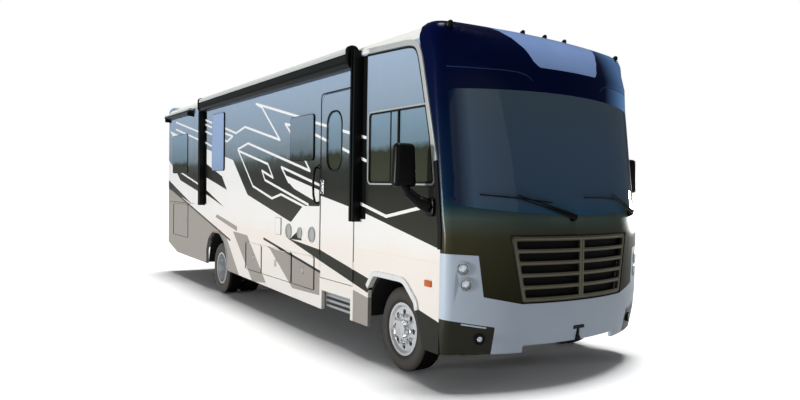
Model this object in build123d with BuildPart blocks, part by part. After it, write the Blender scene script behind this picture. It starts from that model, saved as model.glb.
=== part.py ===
from build123d import *
import math
import os

os.makedirs("parts", exist_ok=True)

# Motorhome: X forward, Y to the left, Z up from the road, all in millimetres
overall_length = 10600.0
front_overhang = 1290.0
wheelbase = 5790.0
front_axle_x = overall_length / 2 - front_overhang
rear_axle_x = front_axle_x - wheelbase

# House body
half_width = 1275.0
rear_face = front_axle_x - 9200.0
rear_cap_thick = 60.0
wall_thick = 45.0
skirt_thick = 40.0
belt_height = 1150.0
eave_height = 3180.0
eave_radius = 130.0
crown_rise = 40.0
crown_height = eave_height + eave_radius + crown_rise
roof_thick = 60.0
floor_top = 1120.0
floor_thick = 60.0
floor_bottom = floor_top - floor_thick
panel_seam = 0.5

# Openings: every moving leaf keeps this gap to the panel round it
leaf_gap = 8.0
leaf_thick = 35.0
hinge_radius = 12.0
running_clearance = 0.3
glass_thick = 6.0
glass_inset = 10.0
glass_clearance = 0.5

# Running gear
tyre_radius = 415.0
tyre_width = 245.0
rim_radius = 247.0
front_wheel_outer = 1180.0
rear_wheel_outer = 1215.0
twin_spacing = 310.0
kingpin_y = 860.0
kingpin_radius = 22.0
spindle_radius = 36.0
hub_radius = 105.0
rail_centre = 432.0
rail_width = 70.0
rail_bottom = 560.0
rail_top = 790.0
spring_y = 530.0
spring_seat = 495.0
axle_tube_radius = 70.0

# Front form: height, nose, plan radius of the face, half width
front_corner = 120.0
front_rows = [
    (340.0, 1222.0, 2200.0, half_width - 13),
    (560.0, 1270.0, 2200.0, half_width),
    (760.0, front_overhang, 2200.0, half_width),
    (1400.0, 1286.0, 2200.0, half_width),
    (1560.0, 1252.0, 2200.0, half_width),
    (eave_height - 445, 1088.0, 2200.0, half_width),
    (eave_height - 230, 1072.0, 2200.0, half_width),
    (eave_height - 70, 1000.0, 2300.0, half_width),
    (eave_height + 35, 905.0, 2900.0, half_width - 4),
    (eave_height + 105, 800.0, 4000.0, half_width - 28),
    (eave_height + 150, 705.0, 4600.0, half_width - 85),
    (crown_height + 15, 580.0, 5000.0, half_width - 205),
]
cap_thick = 45.0
windshield_thick = 8.0


# Plan outline of the nose at one height, set in from the outside by an even amount
def front_outline(height, nose, radius, half, inset):
    back = front_axle_x + 150.0 - inset
    tip = front_axle_x + nose - inset
    face = radius - inset
    side = half - inset
    corner = max(front_corner - inset, 20.0)
    middle = tip - face
    corner_x = middle + math.sqrt((face - corner) ** 2 - (side - corner) ** 2)
    lean = math.atan2(side - corner, corner_x - middle)
    edge_x = middle + face * math.cos(lean)
    edge_y = face * math.sin(lean)
    mid_lean = (lean + math.pi / 2) / 2
    knee_x = corner_x + corner * math.cos(mid_lean)
    knee_y = side - corner + corner * math.sin(mid_lean)
    with BuildSketch(Plane.XY.offset(height)) as outline:
        with BuildLine():
            Line((back, -side), (corner_x, -side))
            ThreePointArc((corner_x, -side), (knee_x, -knee_y), (edge_x, -edge_y))
            ThreePointArc((edge_x, -edge_y), (tip, 0), (edge_x, edge_y))
            ThreePointArc((edge_x, edge_y), (knee_x, knee_y), (corner_x, side))
            Line((corner_x, side), (back, side))
            Line((back, side), (back, -side))
        make_face()
    return outline.sketch


# Whole nose, or a band of its rows; an inset one also drops its top and runs out below
def front_form(inset, first=0, last=len(front_rows) - 1):
    faces = []
    for number in range(first, last + 1):
        height, nose, radius, half = front_rows[number]
        if inset > 0 and height > eave_height - 180:
            height = height - inset
        if inset > 0 and number == 0:
            height = height - 40.0
        faces.append(front_outline(height, nose, radius, half, inset))
    return loft(faces, ruled=True)


# X and outward heading of the nose where it passes a given Y at a given row
def face_point(row, y):
    height, nose, radius, half = front_rows[row]
    middle = front_axle_x + nose - radius
    return middle + math.sqrt(radius**2 - y**2), math.degrees(math.atan2(y, math.sqrt(radius**2 - y**2)))


# Seam between nose and house, as X from the front axle and height
seam_line = [(790.0, 1440.0), (693.0, eave_height - 1104), (385.0, eave_height)]
seam_low = seam_line[0][0]
seam_top = seam_line[-1][0]

# Wheel arches in the skirts, X from the front axle and height
front_arch = [(-520, 250), (-520, 740), (-385, 905), (190, 905), (390, 740), (462, 520), (575, 250)]
rear_arch = [(-6400, 250), (-6415, 665), (-6300, 865), (-6060, 1000), (-5660, 1000), (-5400, 865),
             (-5255, 650), (-5190, 250)]

# Lower edge of the skirts, rear to front
skirt_edge = [(-9140, 610), (-8430, 457), (-6430, 440), (-5180, 435), (-1690, 368), (-890, 362),
              (-500, 360), (560, 340), (seam_low, 340)]

# Entry door and step
door_rear = -1710.0
door_front = -870.0
door_low = 740.0
door_high = eave_height - 320
door_corner = 120.0
latch_rise = 1060.0
step_rear = -1660.0
step_front = -920.0
step_top = 592.0

# Baggage doors: name, rear X, front X, low, high, side (right 1, left -1)
bay_doors = [
    ("bay_door_rear_right", -8750.0, -7650.0, 800.0, 1410.0, 1),
    ("bay_door_mid_right", -4350.0, -3690.0, 565.0, 955.0, 1),
    ("bay_door_centre_right", -3690.0, -2590.0, 565.0, 955.0, 1),
    ("bay_door_fore_right", -2590.0, -1880.0, 565.0, 955.0, 1),
    ("bay_door_rear_left", -8750.0, -7650.0, 800.0, 1410.0, -1),
    ("bay_door_mid_left", -4350.0, -3100.0, 565.0, 955.0, -1),
    ("bay_door_fore_left", -3100.0, -1880.0, 565.0, 955.0, -1),
]
bay_jamb = 15.0
bay_inner = 600.0
bay_sheet = 13.0

# Slide-out room at the right rear
slide_rear = -9050.0
slide_front = -7250.0
slide_low = 1450.0
slide_high = eave_height - 100
slide_depth = 700.0
slide_sheet = 40.0
slide_gap = 8.0

# House windows: rear X, front X, low, high, corner radius, side
windows = [
    (-2600.0, -1920.0, eave_height - 1045, eave_height - 530, 60.0, 1),
    (-6040.0, -5430.0, eave_height - 1130, eave_height - 230, 60.0, 1),
    (-3400.0, -1800.0, eave_height - 1045, eave_height - 530, 60.0, -1),
    (-5600.0, -4500.0, eave_height - 1045, eave_height - 530, 60.0, -1),
    (-8500.0, -7600.0, eave_height - 1130, eave_height - 480, 60.0, -1),
]
cab_low = eave_height - 1330
cab_high = eave_height - 620
cab_window = [(-545, cab_low), (672, cab_low), (548, cab_high), (-545, cab_high)]
cab_corner = 50.0
slide_window = (-8770.0, -7690.0, slide_high - 1050, slide_high - 350, 60.0)
door_window = (-1555.0, -1180.0, door_high - 870, door_high - 210, 150.0)


# Points given from the front axle, moved to the shared frame
def from_axle(points):
    return [(front_axle_x + x, z) for x, z in points]


# Sketch plane on the outer face of the right (1) or left (-1) side
def side_plane(side, inset=0.0):
    return Plane.XZ.offset(side * (half_width - inset))


with BuildPart() as chassis_frame:
    rail_front = front_axle_x + 1040.0
    rail_rear = rear_face + rear_cap_thick
    for y in (rail_centre, -rail_centre):
        with Locations(((rail_front + rail_rear) / 2, y, (rail_bottom + rail_top) / 2)):
            Box(rail_front - rail_rear, rail_width, rail_top - rail_bottom)
        with Locations(((front_axle_x - 900 + rail_rear) / 2, y, floor_bottom - 30)):
            Box(front_axle_x - 900 - rail_rear, rail_width, 60)
        for x in (-1000, -1900, -3000, -4200, -5000, -6700, -7600, -8600, -9110):
            with Locations((front_axle_x + x, y, (rail_top + floor_bottom) / 2 - 10)):
                Box(60, rail_width, floor_bottom - rail_top)
        hanger_outer = spring_y + 45
        side = 1 if y > 0 else -1
        for x in (700, -680, -5090, -6490):
            with Locations((front_axle_x + x, side * (rail_centre + hanger_outer) / 2, 640)):
                Box(90, hanger_outer - rail_centre, 80)
    for x in (1010, -700, -1900, -3000, -4200, -5000, -6600, -7000, -7900, -8300, -9000):
        with Locations((front_axle_x + x, 0, rail_top - 45)):
            Box(80, 2 * rail_centre, 90)
    tow_bar_z = 532.0
    tow_bar_width = 130.0
    tow_bar_thick = 24.0
    with Locations((front_axle_x + 1140, 0, tow_bar_z)):
        Box(270, tow_bar_width, tow_bar_thick)
    with Locations((front_axle_x + 1020, 0, 590)):
        Box(60, tow_bar_width, 140)
    with Locations((front_axle_x + 1030, 0, 640)):
        Box(60, 2 * rail_centre, 60)
    tow_x = front_axle_x + 1255.0
    tow_z = 425.0
    tow_hole = 11.0
    tow_plate = 20.0
    with BuildSketch(Plane.XZ.offset(tow_plate / 2)):
        with Locations((tow_x, tow_z)):
            Circle(27)
        with Locations((tow_x - 8, tow_z + 60)):
            Rectangle(38, 110)
        with Locations((tow_x, tow_z)):
            Circle(tow_hole, mode=Mode.SUBTRACT)
    extrude(amount=-tow_plate)
chassis_frame.part.label = "chassis_frame"
export_step(chassis_frame.part, "parts/chassis_frame.step")

with BuildPart() as engine:
    with Locations((front_axle_x + 590, 0, 790)):
        Box(620, 640, 500)
    with Locations((front_axle_x - 100, 0, 650)):
        Box(760, 380, 300)
    with Locations((front_axle_x + 945, 0, 1010)):
        Box(70, 1000, 420)
    with Locations((front_axle_x + 905, 0, 830)):
        Box(30, 300, 200)
engine.part.label = "engine"
export_step(engine.part, "parts/engine.step")

shaft_start = (front_axle_x - 480.0, 0.0, 600.0)
shaft_end = (rear_axle_x + 270.0, 0.0, 440.0)
with BuildPart() as drive_shaft:
    shaft_line = Vector(*shaft_end) - Vector(*shaft_start)
    tube_start = Vector(*shaft_start) + shaft_line.normalized() * 30
    with BuildSketch(Plane(origin=tube_start, z_dir=shaft_line)):
        Circle(50)
    extrude(amount=shaft_line.length - 30)
    with BuildSketch(Plane.YZ.offset(shaft_start[0])):
        with Locations((0, shaft_start[2])):
            Circle(70)
    extrude(amount=-60)
    with BuildSketch(Plane.YZ.offset(rear_axle_x + 250.0)):
        with Locations((0, shaft_end[2])):
            Circle(70)
    extrude(amount=60)
    with Locations(((shaft_start[0] + shaft_end[0]) / 2, 0, 610)):
        Box(60, 140, 180)
drive_shaft.part.label = "drive_shaft"
export_step(drive_shaft.part, "parts/drive_shaft.step")

with BuildPart() as fuel_tank:
    with Locations((front_axle_x - 7450, 0, 560)):
        Box(1050, 2 * rail_centre - rail_width - 40, 280)
    fillet(fuel_tank.edges().filter_by(Axis.X), 60)
fuel_tank.part.label = "fuel_tank"
export_step(fuel_tank.part, "parts/fuel_tank.step")

with BuildPart() as exhaust:
    pipe_z = 515.0
    with BuildLine() as pipe_run:
        Polyline((front_axle_x - 300, -260, pipe_z), (front_axle_x - 3900, -260, pipe_z),
                 (front_axle_x - 4650, 515 - half_width, pipe_z - 30),
                 (front_axle_x - 4650, 75 - half_width, pipe_z - 70))
    with BuildSketch(Plane(origin=pipe_run.line @ 0, z_dir=pipe_run.line % 0)):
        Circle(38)
    sweep(transition=Transition.ROUND)
    with Locations((front_axle_x - 2400, -260, pipe_z)):
        Cylinder(110, 900, rotation=(0, 90, 0))
    for x in (-1500, -3000):
        with Locations((front_axle_x + x, -260, (pipe_z + 700) / 2)):
            Box(20, 30, 700 - pipe_z)
exhaust.part.label = "exhaust"
export_step(exhaust.part, "parts/exhaust.step")

with BuildPart() as front_axle:
    with Locations((front_axle_x, 0, 395)):
        Box(90, 2 * kingpin_y - 60, 90)
    for y in (kingpin_y, -kingpin_y):
        with Locations((front_axle_x, y, tyre_radius)):
            Cylinder(45, 140)
            Cylinder(kingpin_radius + running_clearance, 140, mode=Mode.SUBTRACT)
    for y in (spring_y, -spring_y):
        with Locations((front_axle_x, y, (440 + spring_seat) / 2)):
            Box(120, 100, spring_seat - 440)
front_axle.part.label = "front_axle"
export_step(front_axle.part, "parts/front_axle.step")

with BuildPart() as rear_axle:
    with Locations((rear_axle_x, 0, tyre_radius)):
        Cylinder(axle_tube_radius, 2 * (rear_wheel_outer - 260), rotation=(90, 0, 0))
        Cylinder(190, 240, rotation=(90, 0, 0))
    with BuildSketch(Plane.YZ.offset(rear_axle_x + 250.0 - running_clearance)):
        with Locations((0, shaft_end[2])):
            Circle(80)
    extrude(amount=-250.0)
    for y in (spring_y, -spring_y):
        with Locations((rear_axle_x, y, (440 + spring_seat) / 2)):
            Box(120, 100, spring_seat - 440)
rear_axle.part.label = "rear_axle"
export_step(rear_axle.part, "parts/rear_axle.step")

with BuildPart() as leaf_springs:
    for axle_x in (front_axle_x + 10, rear_axle_x):
        for y in (spring_y, -spring_y):
            with BuildSketch(Plane.XZ.offset(y + 38)):
                with BuildLine():
                    Polyline((axle_x - 740, 600), (axle_x - 650, 600), (axle_x - 80, spring_seat + 45),
                             (axle_x + 80, spring_seat + 45), (axle_x + 650, 600), (axle_x + 740, 600),
                             (axle_x + 740, 575), (axle_x + 640, 575), (axle_x + 80, spring_seat),
                             (axle_x - 80, spring_seat), (axle_x - 640, 575), (axle_x - 740, 575), close=True)
                make_face()
            extrude(amount=-76)
leaf_springs.part.label = "leaf_springs"
export_step(leaf_springs.part, "parts/leaf_springs.step")

# Front end of the floor stays inside the nose
floor_front = front_axle_x + 790.0
floor_half = half_width - wall_thick - panel_seam
well_inner = 640.0
with BuildPart() as floor:
    with Locations(((floor_front + rear_face + rear_cap_thick) / 2, 0, floor_top - floor_thick / 2)):
        Box(floor_front - rear_face - rear_cap_thick - panel_seam, 2 * floor_half, floor_thick)
    with Locations((front_axle_x + (door_rear + door_front) / 2, -(floor_half + well_inner) / 2, floor_top)):
        Box(door_front - door_rear, floor_half - well_inner + 0.01, 4 * floor_thick, mode=Mode.SUBTRACT)
    for name, rear, front, low, high, side in bay_doors:
        if high > belt_height:
            with Locations((front_axle_x + (rear + front) / 2, -side * (floor_half + bay_inner) / 2,
                            floor_top)):
                Box(front - rear, floor_half - bay_inner + 2 * panel_seam, 4 * floor_thick, mode=Mode.SUBTRACT)
    # Seams between the floor panels, at the ends of the rear bays and of the step well
    for seam_x in (bay_doors[0][1], bay_doors[0][2], door_rear, door_front):
        with Locations((front_axle_x + seam_x, 0, floor_top)):
            Box(panel_seam, 4 * floor_half, 4 * floor_thick, mode=Mode.SUBTRACT)
floor.part.label = "floor"
export_step(floor.part, "parts/floor.step")

with BuildPart() as step_well:
    well_floor = door_low - 10.0
    well_outer = half_width - skirt_thick - panel_seam
    well_x = front_axle_x + (door_rear + door_front) / 2
    well_length = door_front - door_rear - 2 * panel_seam
    with Locations((well_x, -(well_outer + well_inner) / 2, (well_floor + floor_bottom) / 2)):
        Box(well_length + 30, well_outer - well_inner, floor_bottom - well_floor)
    with Locations((well_x, -(well_outer + well_inner) / 2 - 15, (well_floor + floor_bottom) / 2 + 15)):
        Box(well_length, well_outer - well_inner + 0.02, floor_bottom - well_floor, mode=Mode.SUBTRACT)
    with Locations((well_x, -(well_inner + 15 + 130), (well_floor + 190 / 2 + 15))):
        Box(well_length + 1, 260, 190)
step_well.part.label = "step_well"
export_step(step_well.part, "parts/step_well.step")

roof_length = front_axle_x + seam_top - rear_face - rear_cap_thick - 2 * panel_seam
with BuildPart() as roof:
    with BuildSketch(Plane.YZ.offset(rear_face + rear_cap_thick + panel_seam)):
        crest = eave_height + eave_radius
        with BuildLine():
            Line((-half_width, eave_height), (-half_width + wall_thick, eave_height))
            ThreePointArc((-half_width + wall_thick, eave_height),
                          (-half_width + eave_radius - (eave_radius - wall_thick) * 0.7071,
                           eave_height + (crest - roof_thick - eave_height) * 0.7071),
                          (-half_width + eave_radius, crest - roof_thick))
            Line((-half_width + eave_radius, crest - roof_thick),
                 (half_width - eave_radius, crest - roof_thick))
            ThreePointArc((half_width - eave_radius, crest - roof_thick),
                          (half_width - eave_radius + (eave_radius - wall_thick) * 0.7071,
                           eave_height + (crest - roof_thick - eave_height) * 0.7071),
                          (half_width - wall_thick, eave_height))
            Line((half_width - wall_thick, eave_height), (half_width, eave_height))
            ThreePointArc((half_width, eave_height),
                          (half_width - eave_radius * 0.2929, eave_height + eave_radius * 0.7071),
                          (half_width - eave_radius, crest))
            ThreePointArc((half_width - eave_radius, crest), (0, crown_height),
                          (-half_width + eave_radius, crest))
            ThreePointArc((-half_width + eave_radius, crest),
                          (-half_width + eave_radius * 0.2929, eave_height + eave_radius * 0.7071),
                          (-half_width, eave_height))
        make_face()
    extrude(amount=roof_length)
roof.part.label = "roof"
export_step(roof.part, "parts/roof.step")

wall_low = belt_height
wall_outline = [(-9140 + panel_seam, wall_low), (seam_low, wall_low)] + seam_line + [
    (-9140 + panel_seam, eave_height)]

with BuildPart() as wall_right:
    with BuildSketch(side_plane(1)):
        with BuildLine():
            Polyline(*from_axle(wall_outline), close=True)
        make_face()
        with Locations((front_axle_x + (slide_rear + slide_front) / 2, (slide_low + slide_high) / 2)):
            RectangleRounded(slide_front - slide_rear + 2 * slide_gap, slide_high - slide_low + 2 * slide_gap,
                             20, mode=Mode.SUBTRACT)
        for rear, front, low, high, corner, side in windows:
            if side == 1:
                with Locations((front_axle_x + (rear + front) / 2, (low + high) / 2)):
                    RectangleRounded(front - rear, high - low, corner, mode=Mode.SUBTRACT)
    extrude(amount=-wall_thick)
    with BuildSketch(side_plane(1)) as cab_hole:
        with BuildLine():
            Polyline(*from_axle(cab_window), close=True)
        make_face()
        fillet(cab_hole.vertices(), cab_corner)
    extrude(amount=-wall_thick, mode=Mode.SUBTRACT)
    with BuildSketch(side_plane(1)) as door_hole:
        with Locations((front_axle_x + (door_rear + door_front - leaf_gap) / 2,
                        (wall_low + door_high + leaf_gap) / 2)):
            Rectangle(door_front - door_rear + leaf_gap, door_high + leaf_gap - wall_low)
        fillet(door_hole.vertices().group_by(Axis.Y)[-1], door_corner)
    extrude(amount=-wall_thick, mode=Mode.SUBTRACT)
    with Locations((front_axle_x + door_front, -half_width, (wall_low + door_high - 150) / 2)):
        Cylinder(hinge_radius + running_clearance, door_high - 150 - wall_low, mode=Mode.SUBTRACT)
    for name, rear, front, low, high, side in bay_doors:
        if side == 1 and high > wall_low:
            with Locations((front_axle_x + (rear + front) / 2, -half_width, (wall_low + high) / 2)):
                Box(front - rear - 2 * bay_jamb, 4 * wall_thick, high - wall_low, mode=Mode.SUBTRACT)
            with Locations((front_axle_x + (rear + front) / 2, -half_width, high)):
                Cylinder(hinge_radius + running_clearance, front - rear - 2 * bay_jamb, rotation=(0, 90, 0),
                         mode=Mode.SUBTRACT)
wall_right.part.label = "wall_right"
export_step(wall_right.part, "parts/wall_right.step")

with BuildPart() as wall_left:
    with BuildSketch(side_plane(-1)):
        with BuildLine():
            Polyline(*from_axle(wall_outline), close=True)
        make_face()
        for rear, front, low, high, corner, side in windows:
            if side == -1:
                with Locations((front_axle_x + (rear + front) / 2, (low + high) / 2)):
                    RectangleRounded(front - rear, high - low, corner, mode=Mode.SUBTRACT)
    extrude(amount=wall_thick)
    with BuildSketch(side_plane(-1)) as cab_hole_left:
        with BuildLine():
            Polyline(*from_axle(cab_window), close=True)
        make_face()
        fillet(cab_hole_left.vertices(), cab_corner)
    extrude(amount=wall_thick, mode=Mode.SUBTRACT)
    for name, rear, front, low, high, side in bay_doors:
        if side == -1 and high > wall_low:
            with Locations((front_axle_x + (rear + front) / 2, half_width, (wall_low + high) / 2)):
                Box(front - rear - 2 * bay_jamb, 4 * wall_thick, high - wall_low, mode=Mode.SUBTRACT)
            with Locations((front_axle_x + (rear + front) / 2, half_width, high)):
                Cylinder(hinge_radius + running_clearance, front - rear - 2 * bay_jamb, rotation=(0, 90, 0),
                         mode=Mode.SUBTRACT)
wall_left.part.label = "wall_left"
export_step(wall_left.part, "parts/wall_left.step")

skirt_outline = skirt_edge + [(seam_low, belt_height - panel_seam), (-9140, belt_height - panel_seam)]
with BuildPart() as skirt_right:
    with BuildSketch(side_plane(1)):
        with BuildLine():
            Polyline(*from_axle(skirt_outline), close=True)
        make_face()
        with Locations((front_axle_x + (step_rear + step_front) / 2, step_top - 300)):
            Rectangle(step_front - step_rear, 600, mode=Mode.SUBTRACT)
        with Locations((front_axle_x + (door_rear + door_front - leaf_gap) / 2, door_low - leaf_gap + 300)):
            Rectangle(door_front - door_rear + leaf_gap, 600, mode=Mode.SUBTRACT)
        for name, rear, front, low, high, side in bay_doors:
            if side == 1:
                with Locations((front_axle_x + (rear + front) / 2, (low + high - leaf_gap) / 2)):
                    Rectangle(front - rear - 2 * bay_jamb, high - low + leaf_gap, mode=Mode.SUBTRACT)
    extrude(amount=-skirt_thick)
    with BuildSketch(side_plane(1)) as arch_rear:
        with BuildLine():
            Polyline(*from_axle(rear_arch), close=True)
        make_face()
        fillet(arch_rear.vertices().filter_by(lambda v: v.Y > 400), 110)
    extrude(amount=-skirt_thick, mode=Mode.SUBTRACT)
    with BuildSketch(side_plane(1)) as arch_front:
        with BuildLine():
            Polyline(*from_axle(front_arch), close=True)
        make_face()
        fillet(arch_front.vertices().filter_by(lambda v: v.Y > 400), 110)
    extrude(amount=-skirt_thick, mode=Mode.SUBTRACT)
    hinge_low = door_low + 40.0
    with Locations((front_axle_x + door_front, -half_width, (hinge_low + belt_height) / 2)):
        Cylinder(hinge_radius + running_clearance, belt_height - hinge_low, mode=Mode.SUBTRACT)
    for name, rear, front, low, high, side in bay_doors:
        if side == 1 and high < belt_height:
            with Locations((front_axle_x + (rear + front) / 2, -half_width, high)):
                Cylinder(hinge_radius + running_clearance, front - rear - 2 * bay_jamb, rotation=(0, 90, 0),
                         mode=Mode.SUBTRACT)
skirt_right.part.label = "skirt_right"
export_step(skirt_right.part, "parts/skirt_right.step")

with BuildPart() as skirt_left:
    with BuildSketch(side_plane(-1)):
        with BuildLine():
            Polyline(*from_axle(skirt_outline), close=True)
        make_face()
        for name, rear, front, low, high, side in bay_doors:
            if side == -1:
                with Locations((front_axle_x + (rear + front) / 2, (low + high - leaf_gap) / 2)):
                    Rectangle(front - rear - 2 * bay_jamb, high - low + leaf_gap, mode=Mode.SUBTRACT)
    extrude(amount=skirt_thick)
    with BuildSketch(side_plane(-1)) as arch_rear_left:
        with BuildLine():
            Polyline(*from_axle(rear_arch), close=True)
        make_face()
        fillet(arch_rear_left.vertices().filter_by(lambda v: v.Y > 400), 110)
    extrude(amount=skirt_thick, mode=Mode.SUBTRACT)
    with BuildSketch(side_plane(-1)) as arch_front_left:
        with BuildLine():
            Polyline(*from_axle(front_arch), close=True)
        make_face()
        fillet(arch_front_left.vertices().filter_by(lambda v: v.Y > 400), 110)
    extrude(amount=skirt_thick, mode=Mode.SUBTRACT)
    for name, rear, front, low, high, side in bay_doors:
        if side == -1 and high < belt_height:
            with Locations((front_axle_x + (rear + front) / 2, half_width, high)):
                Cylinder(hinge_radius + running_clearance, front - rear - 2 * bay_jamb, rotation=(0, 90, 0),
                         mode=Mode.SUBTRACT)
skirt_left.part.label = "skirt_left"
export_step(skirt_left.part, "parts/skirt_left.step")

with BuildPart() as rear_cap:
    with BuildSketch(Plane.YZ.offset(rear_face)) as rear_outline:
        with Locations((0, (crown_height + 20 + 610) / 2)):
            Rectangle(2 * half_width, crown_height + 20 - 610)
        fillet(rear_outline.vertices().group_by(Axis.Y)[-1], eave_radius)
    extrude(amount=rear_cap_thick)
    fillet(rear_cap.faces().sort_by(Axis.X)[0].edges(), 40)
rear_cap.part.label = "rear_cap"
export_step(rear_cap.part, "parts/rear_cap.step")

nose_region = [(seam_low + panel_seam, 200)] + [(x + panel_seam, z) for x, z in seam_line] + [
    (seam_top + panel_seam, crown_height + 100), (1600, crown_height + 100), (1600, 200)]
region_reach = half_width + 100.0

# Outline of the white bumper and lamp pods on the nose, Y and height
bumper_half = [(0, 792), (655, 792), (half_width - 290, 862), (half_width - 245, 1226), (half_width + 25, 1240),
               (half_width + 25, 200)]
bumper_line = bumper_half + [(-y, z) for y, z in reversed(bumper_half[1:])]
windshield_half = half_width - 50
windshield_corner_low = 1668.0
windshield_low = 1585.0
windshield_top_half = half_width - 85
windshield_corner_high = eave_height - 486
windshield_high = eave_height - 460
windshield_round = 60.0
grille_top_half = 764.0
grille_low_half = 650.0
grille_low = 802.0
grille_high = 1396.0
grille_line = [(-grille_low_half, grille_low), (grille_low_half, grille_low), (grille_top_half, grille_high),
               (-grille_top_half, grille_high)]
nose_plane = Plane.YZ.offset(front_axle_x + 250.0)
nose_reach = 1300.0

with BuildSketch(nose_plane) as windshield_hole:
    with BuildLine():
        ThreePointArc((-windshield_half, windshield_corner_low), (0, windshield_low),
                      (windshield_half, windshield_corner_low))
        Line((windshield_half, windshield_corner_low), (windshield_top_half, windshield_corner_high))
        ThreePointArc((windshield_top_half, windshield_corner_high), (0, windshield_high),
                      (-windshield_top_half, windshield_corner_high))
        Line((-windshield_top_half, windshield_corner_high), (-windshield_half, windshield_corner_low))
    make_face()
    fillet(windshield_hole.vertices(), windshield_round)

with BuildPart() as front_cap:
    add(front_form(0))
    add(front_form(cap_thick), mode=Mode.SUBTRACT)
    with BuildSketch(Plane.XZ.offset(region_reach)):
        with BuildLine():
            Polyline(*from_axle(nose_region), close=True)
        make_face()
    extrude(amount=-2 * region_reach, mode=Mode.INTERSECT)
    with BuildSketch(nose_plane):
        with BuildLine():
            Polyline(*bumper_line, close=True)
        make_face()
    extrude(amount=nose_reach, mode=Mode.SUBTRACT)
    extrude(windshield_hole.sketch, amount=nose_reach, mode=Mode.SUBTRACT)
    with BuildSketch(nose_plane) as grille_hole:
        with BuildLine():
            Polyline(*grille_line, close=True)
        make_face()
        fillet(grille_hole.vertices(), 40)
    extrude(amount=nose_reach, mode=Mode.SUBTRACT)
front_cap.part.label = "front_cap"
export_step(front_cap.part, "parts/front_cap.step")

# Lamps in the nose: form row, Y, height, radius
lamp_rows = [(2, half_width - 125, 1112.0, 62.0), (2, half_width - 150, 975.0, 62.0),
             (1, half_width - 275, 488.0, 48.0)]
lamp_depth = 45.0

with BuildPart() as front_bumper:
    add(front_form(0, 0, 3))
    add(front_form(cap_thick, 0, 3), mode=Mode.SUBTRACT)
    with BuildSketch(Plane.XZ.offset(region_reach)):
        with BuildLine():
            Polyline(*from_axle(nose_region), close=True)
        make_face()
    extrude(amount=-2 * region_reach, mode=Mode.INTERSECT)
    with BuildSketch(nose_plane):
        with BuildLine():
            Polyline(*bumper_line, close=True)
        make_face()
        offset(amount=-panel_seam, mode=Mode.REPLACE)
    extrude(amount=nose_reach, mode=Mode.INTERSECT)
    with Locations((front_axle_x + 1200, 0, 405 - 100)):
        Box(500, 1200, 200, mode=Mode.SUBTRACT)
    with Locations((front_axle_x + 1200, 0, tow_bar_z)):
        Box(400, tow_bar_width + 12, tow_bar_thick + 12, mode=Mode.SUBTRACT)
    with Locations((front_axle_x + 1200, 0, 460)):
        Box(400, tow_plate + 20, 160, mode=Mode.SUBTRACT)
    for row, y, z, radius in lamp_rows:
        for sign in (1, -1):
            x, heading = face_point(row, sign * y)
            facing = (math.cos(math.radians(heading)), math.sin(math.radians(heading)), 0)
            with BuildSketch(Plane(origin=(x, sign * y, z), z_dir=facing)):
                Circle(radius + panel_seam)
            extrude(amount=90, both=True, mode=Mode.SUBTRACT)
front_bumper.part.label = "front_bumper"
export_step(front_bumper.part, "parts/front_bumper.step")

with BuildPart() as headlamps:
    for row, y, z, radius in lamp_rows:
        for sign in (1, -1):
            x, heading = face_point(row, sign * y)
            facing = (math.cos(math.radians(heading)), math.sin(math.radians(heading)), 0)
            with BuildSketch(Plane(origin=(x, sign * y, z), z_dir=facing).offset(-lamp_depth)):
                Circle(radius)
            extrude(amount=lamp_depth)
headlamps.part.label = "headlamps"
export_step(headlamps.part, "parts/headlamps.step")

with BuildPart() as windshield:
    add(front_form(0, 4, 5))
    add(front_form(windshield_thick, 4, 5), mode=Mode.SUBTRACT)
    with BuildSketch(nose_plane):
        add(windshield_hole.sketch_local)
        offset(amount=-glass_clearance, mode=Mode.REPLACE)
    extrude(amount=nose_reach, mode=Mode.INTERSECT)
windshield.part.label = "windshield"
export_step(windshield.part, "parts/windshield.step")

grille_rows = 5
grille_bar = 34.0
grille_frame = 42.0
grille_cell_corner = 18.0
with BuildPart() as grille:
    add(front_form(4, 2, 3))
    add(front_form(36, 2, 3), mode=Mode.SUBTRACT)
    with BuildSketch(nose_plane) as grille_plate:
        with BuildLine():
            Polyline(*grille_line, close=True)
        make_face()
        fillet(grille_plate.vertices(), 40)
        offset(amount=-panel_seam, mode=Mode.REPLACE)
    extrude(amount=nose_reach, mode=Mode.INTERSECT)
    pitch = (grille_high - grille_low - 2 * grille_frame + grille_bar) / grille_rows
    flare = (grille_top_half - grille_low_half) / (grille_high - grille_low)
    for number in range(grille_rows):
        low = grille_low + grille_frame + number * pitch
        high = low + pitch - grille_bar
        for sign in (1, -1):
            with BuildSketch(nose_plane) as cell:
                with BuildLine():
                    Polyline((sign * 18, low), (sign * 18, high),
                             (sign * (grille_low_half - grille_frame + flare * (high - grille_low)), high),
                             (sign * (grille_low_half - grille_frame + flare * (low - grille_low)), low),
                             close=True)
                make_face()
                fillet(cell.vertices(), grille_cell_corner)
            extrude(amount=nose_reach, mode=Mode.SUBTRACT)
grille.part.label = "grille"
export_step(grille.part, "parts/grille.step")

# Brow lamps: front row that each sits on, Y, width
marker_rows = [(10, 0.0, 44.0), (10, 283.0, 44.0), (10, -283.0, 44.0),
               (9, half_width - 160, 70.0), (9, 160 - half_width, 70.0)]
with BuildPart() as marker_lamps:
    for row, y, width in marker_rows:
        with Locations((face_point(row, y)[0], y, front_rows[row][0])):
            Box(46, width, 54)
    add(front_form(-running_clearance), mode=Mode.SUBTRACT)
marker_lamps.part.label = "marker_lamps"
export_step(marker_lamps.part, "parts/marker_lamps.step")

with BuildPart() as tail_lamps:
    for y in (half_width - 195, 195 - half_width):
        with Locations((rear_face - 10, y, 1180)):
            Box(20, 150, 330)
tail_lamps.part.label = "tail_lamps"
export_step(tail_lamps.part, "parts/tail_lamps.step")

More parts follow.
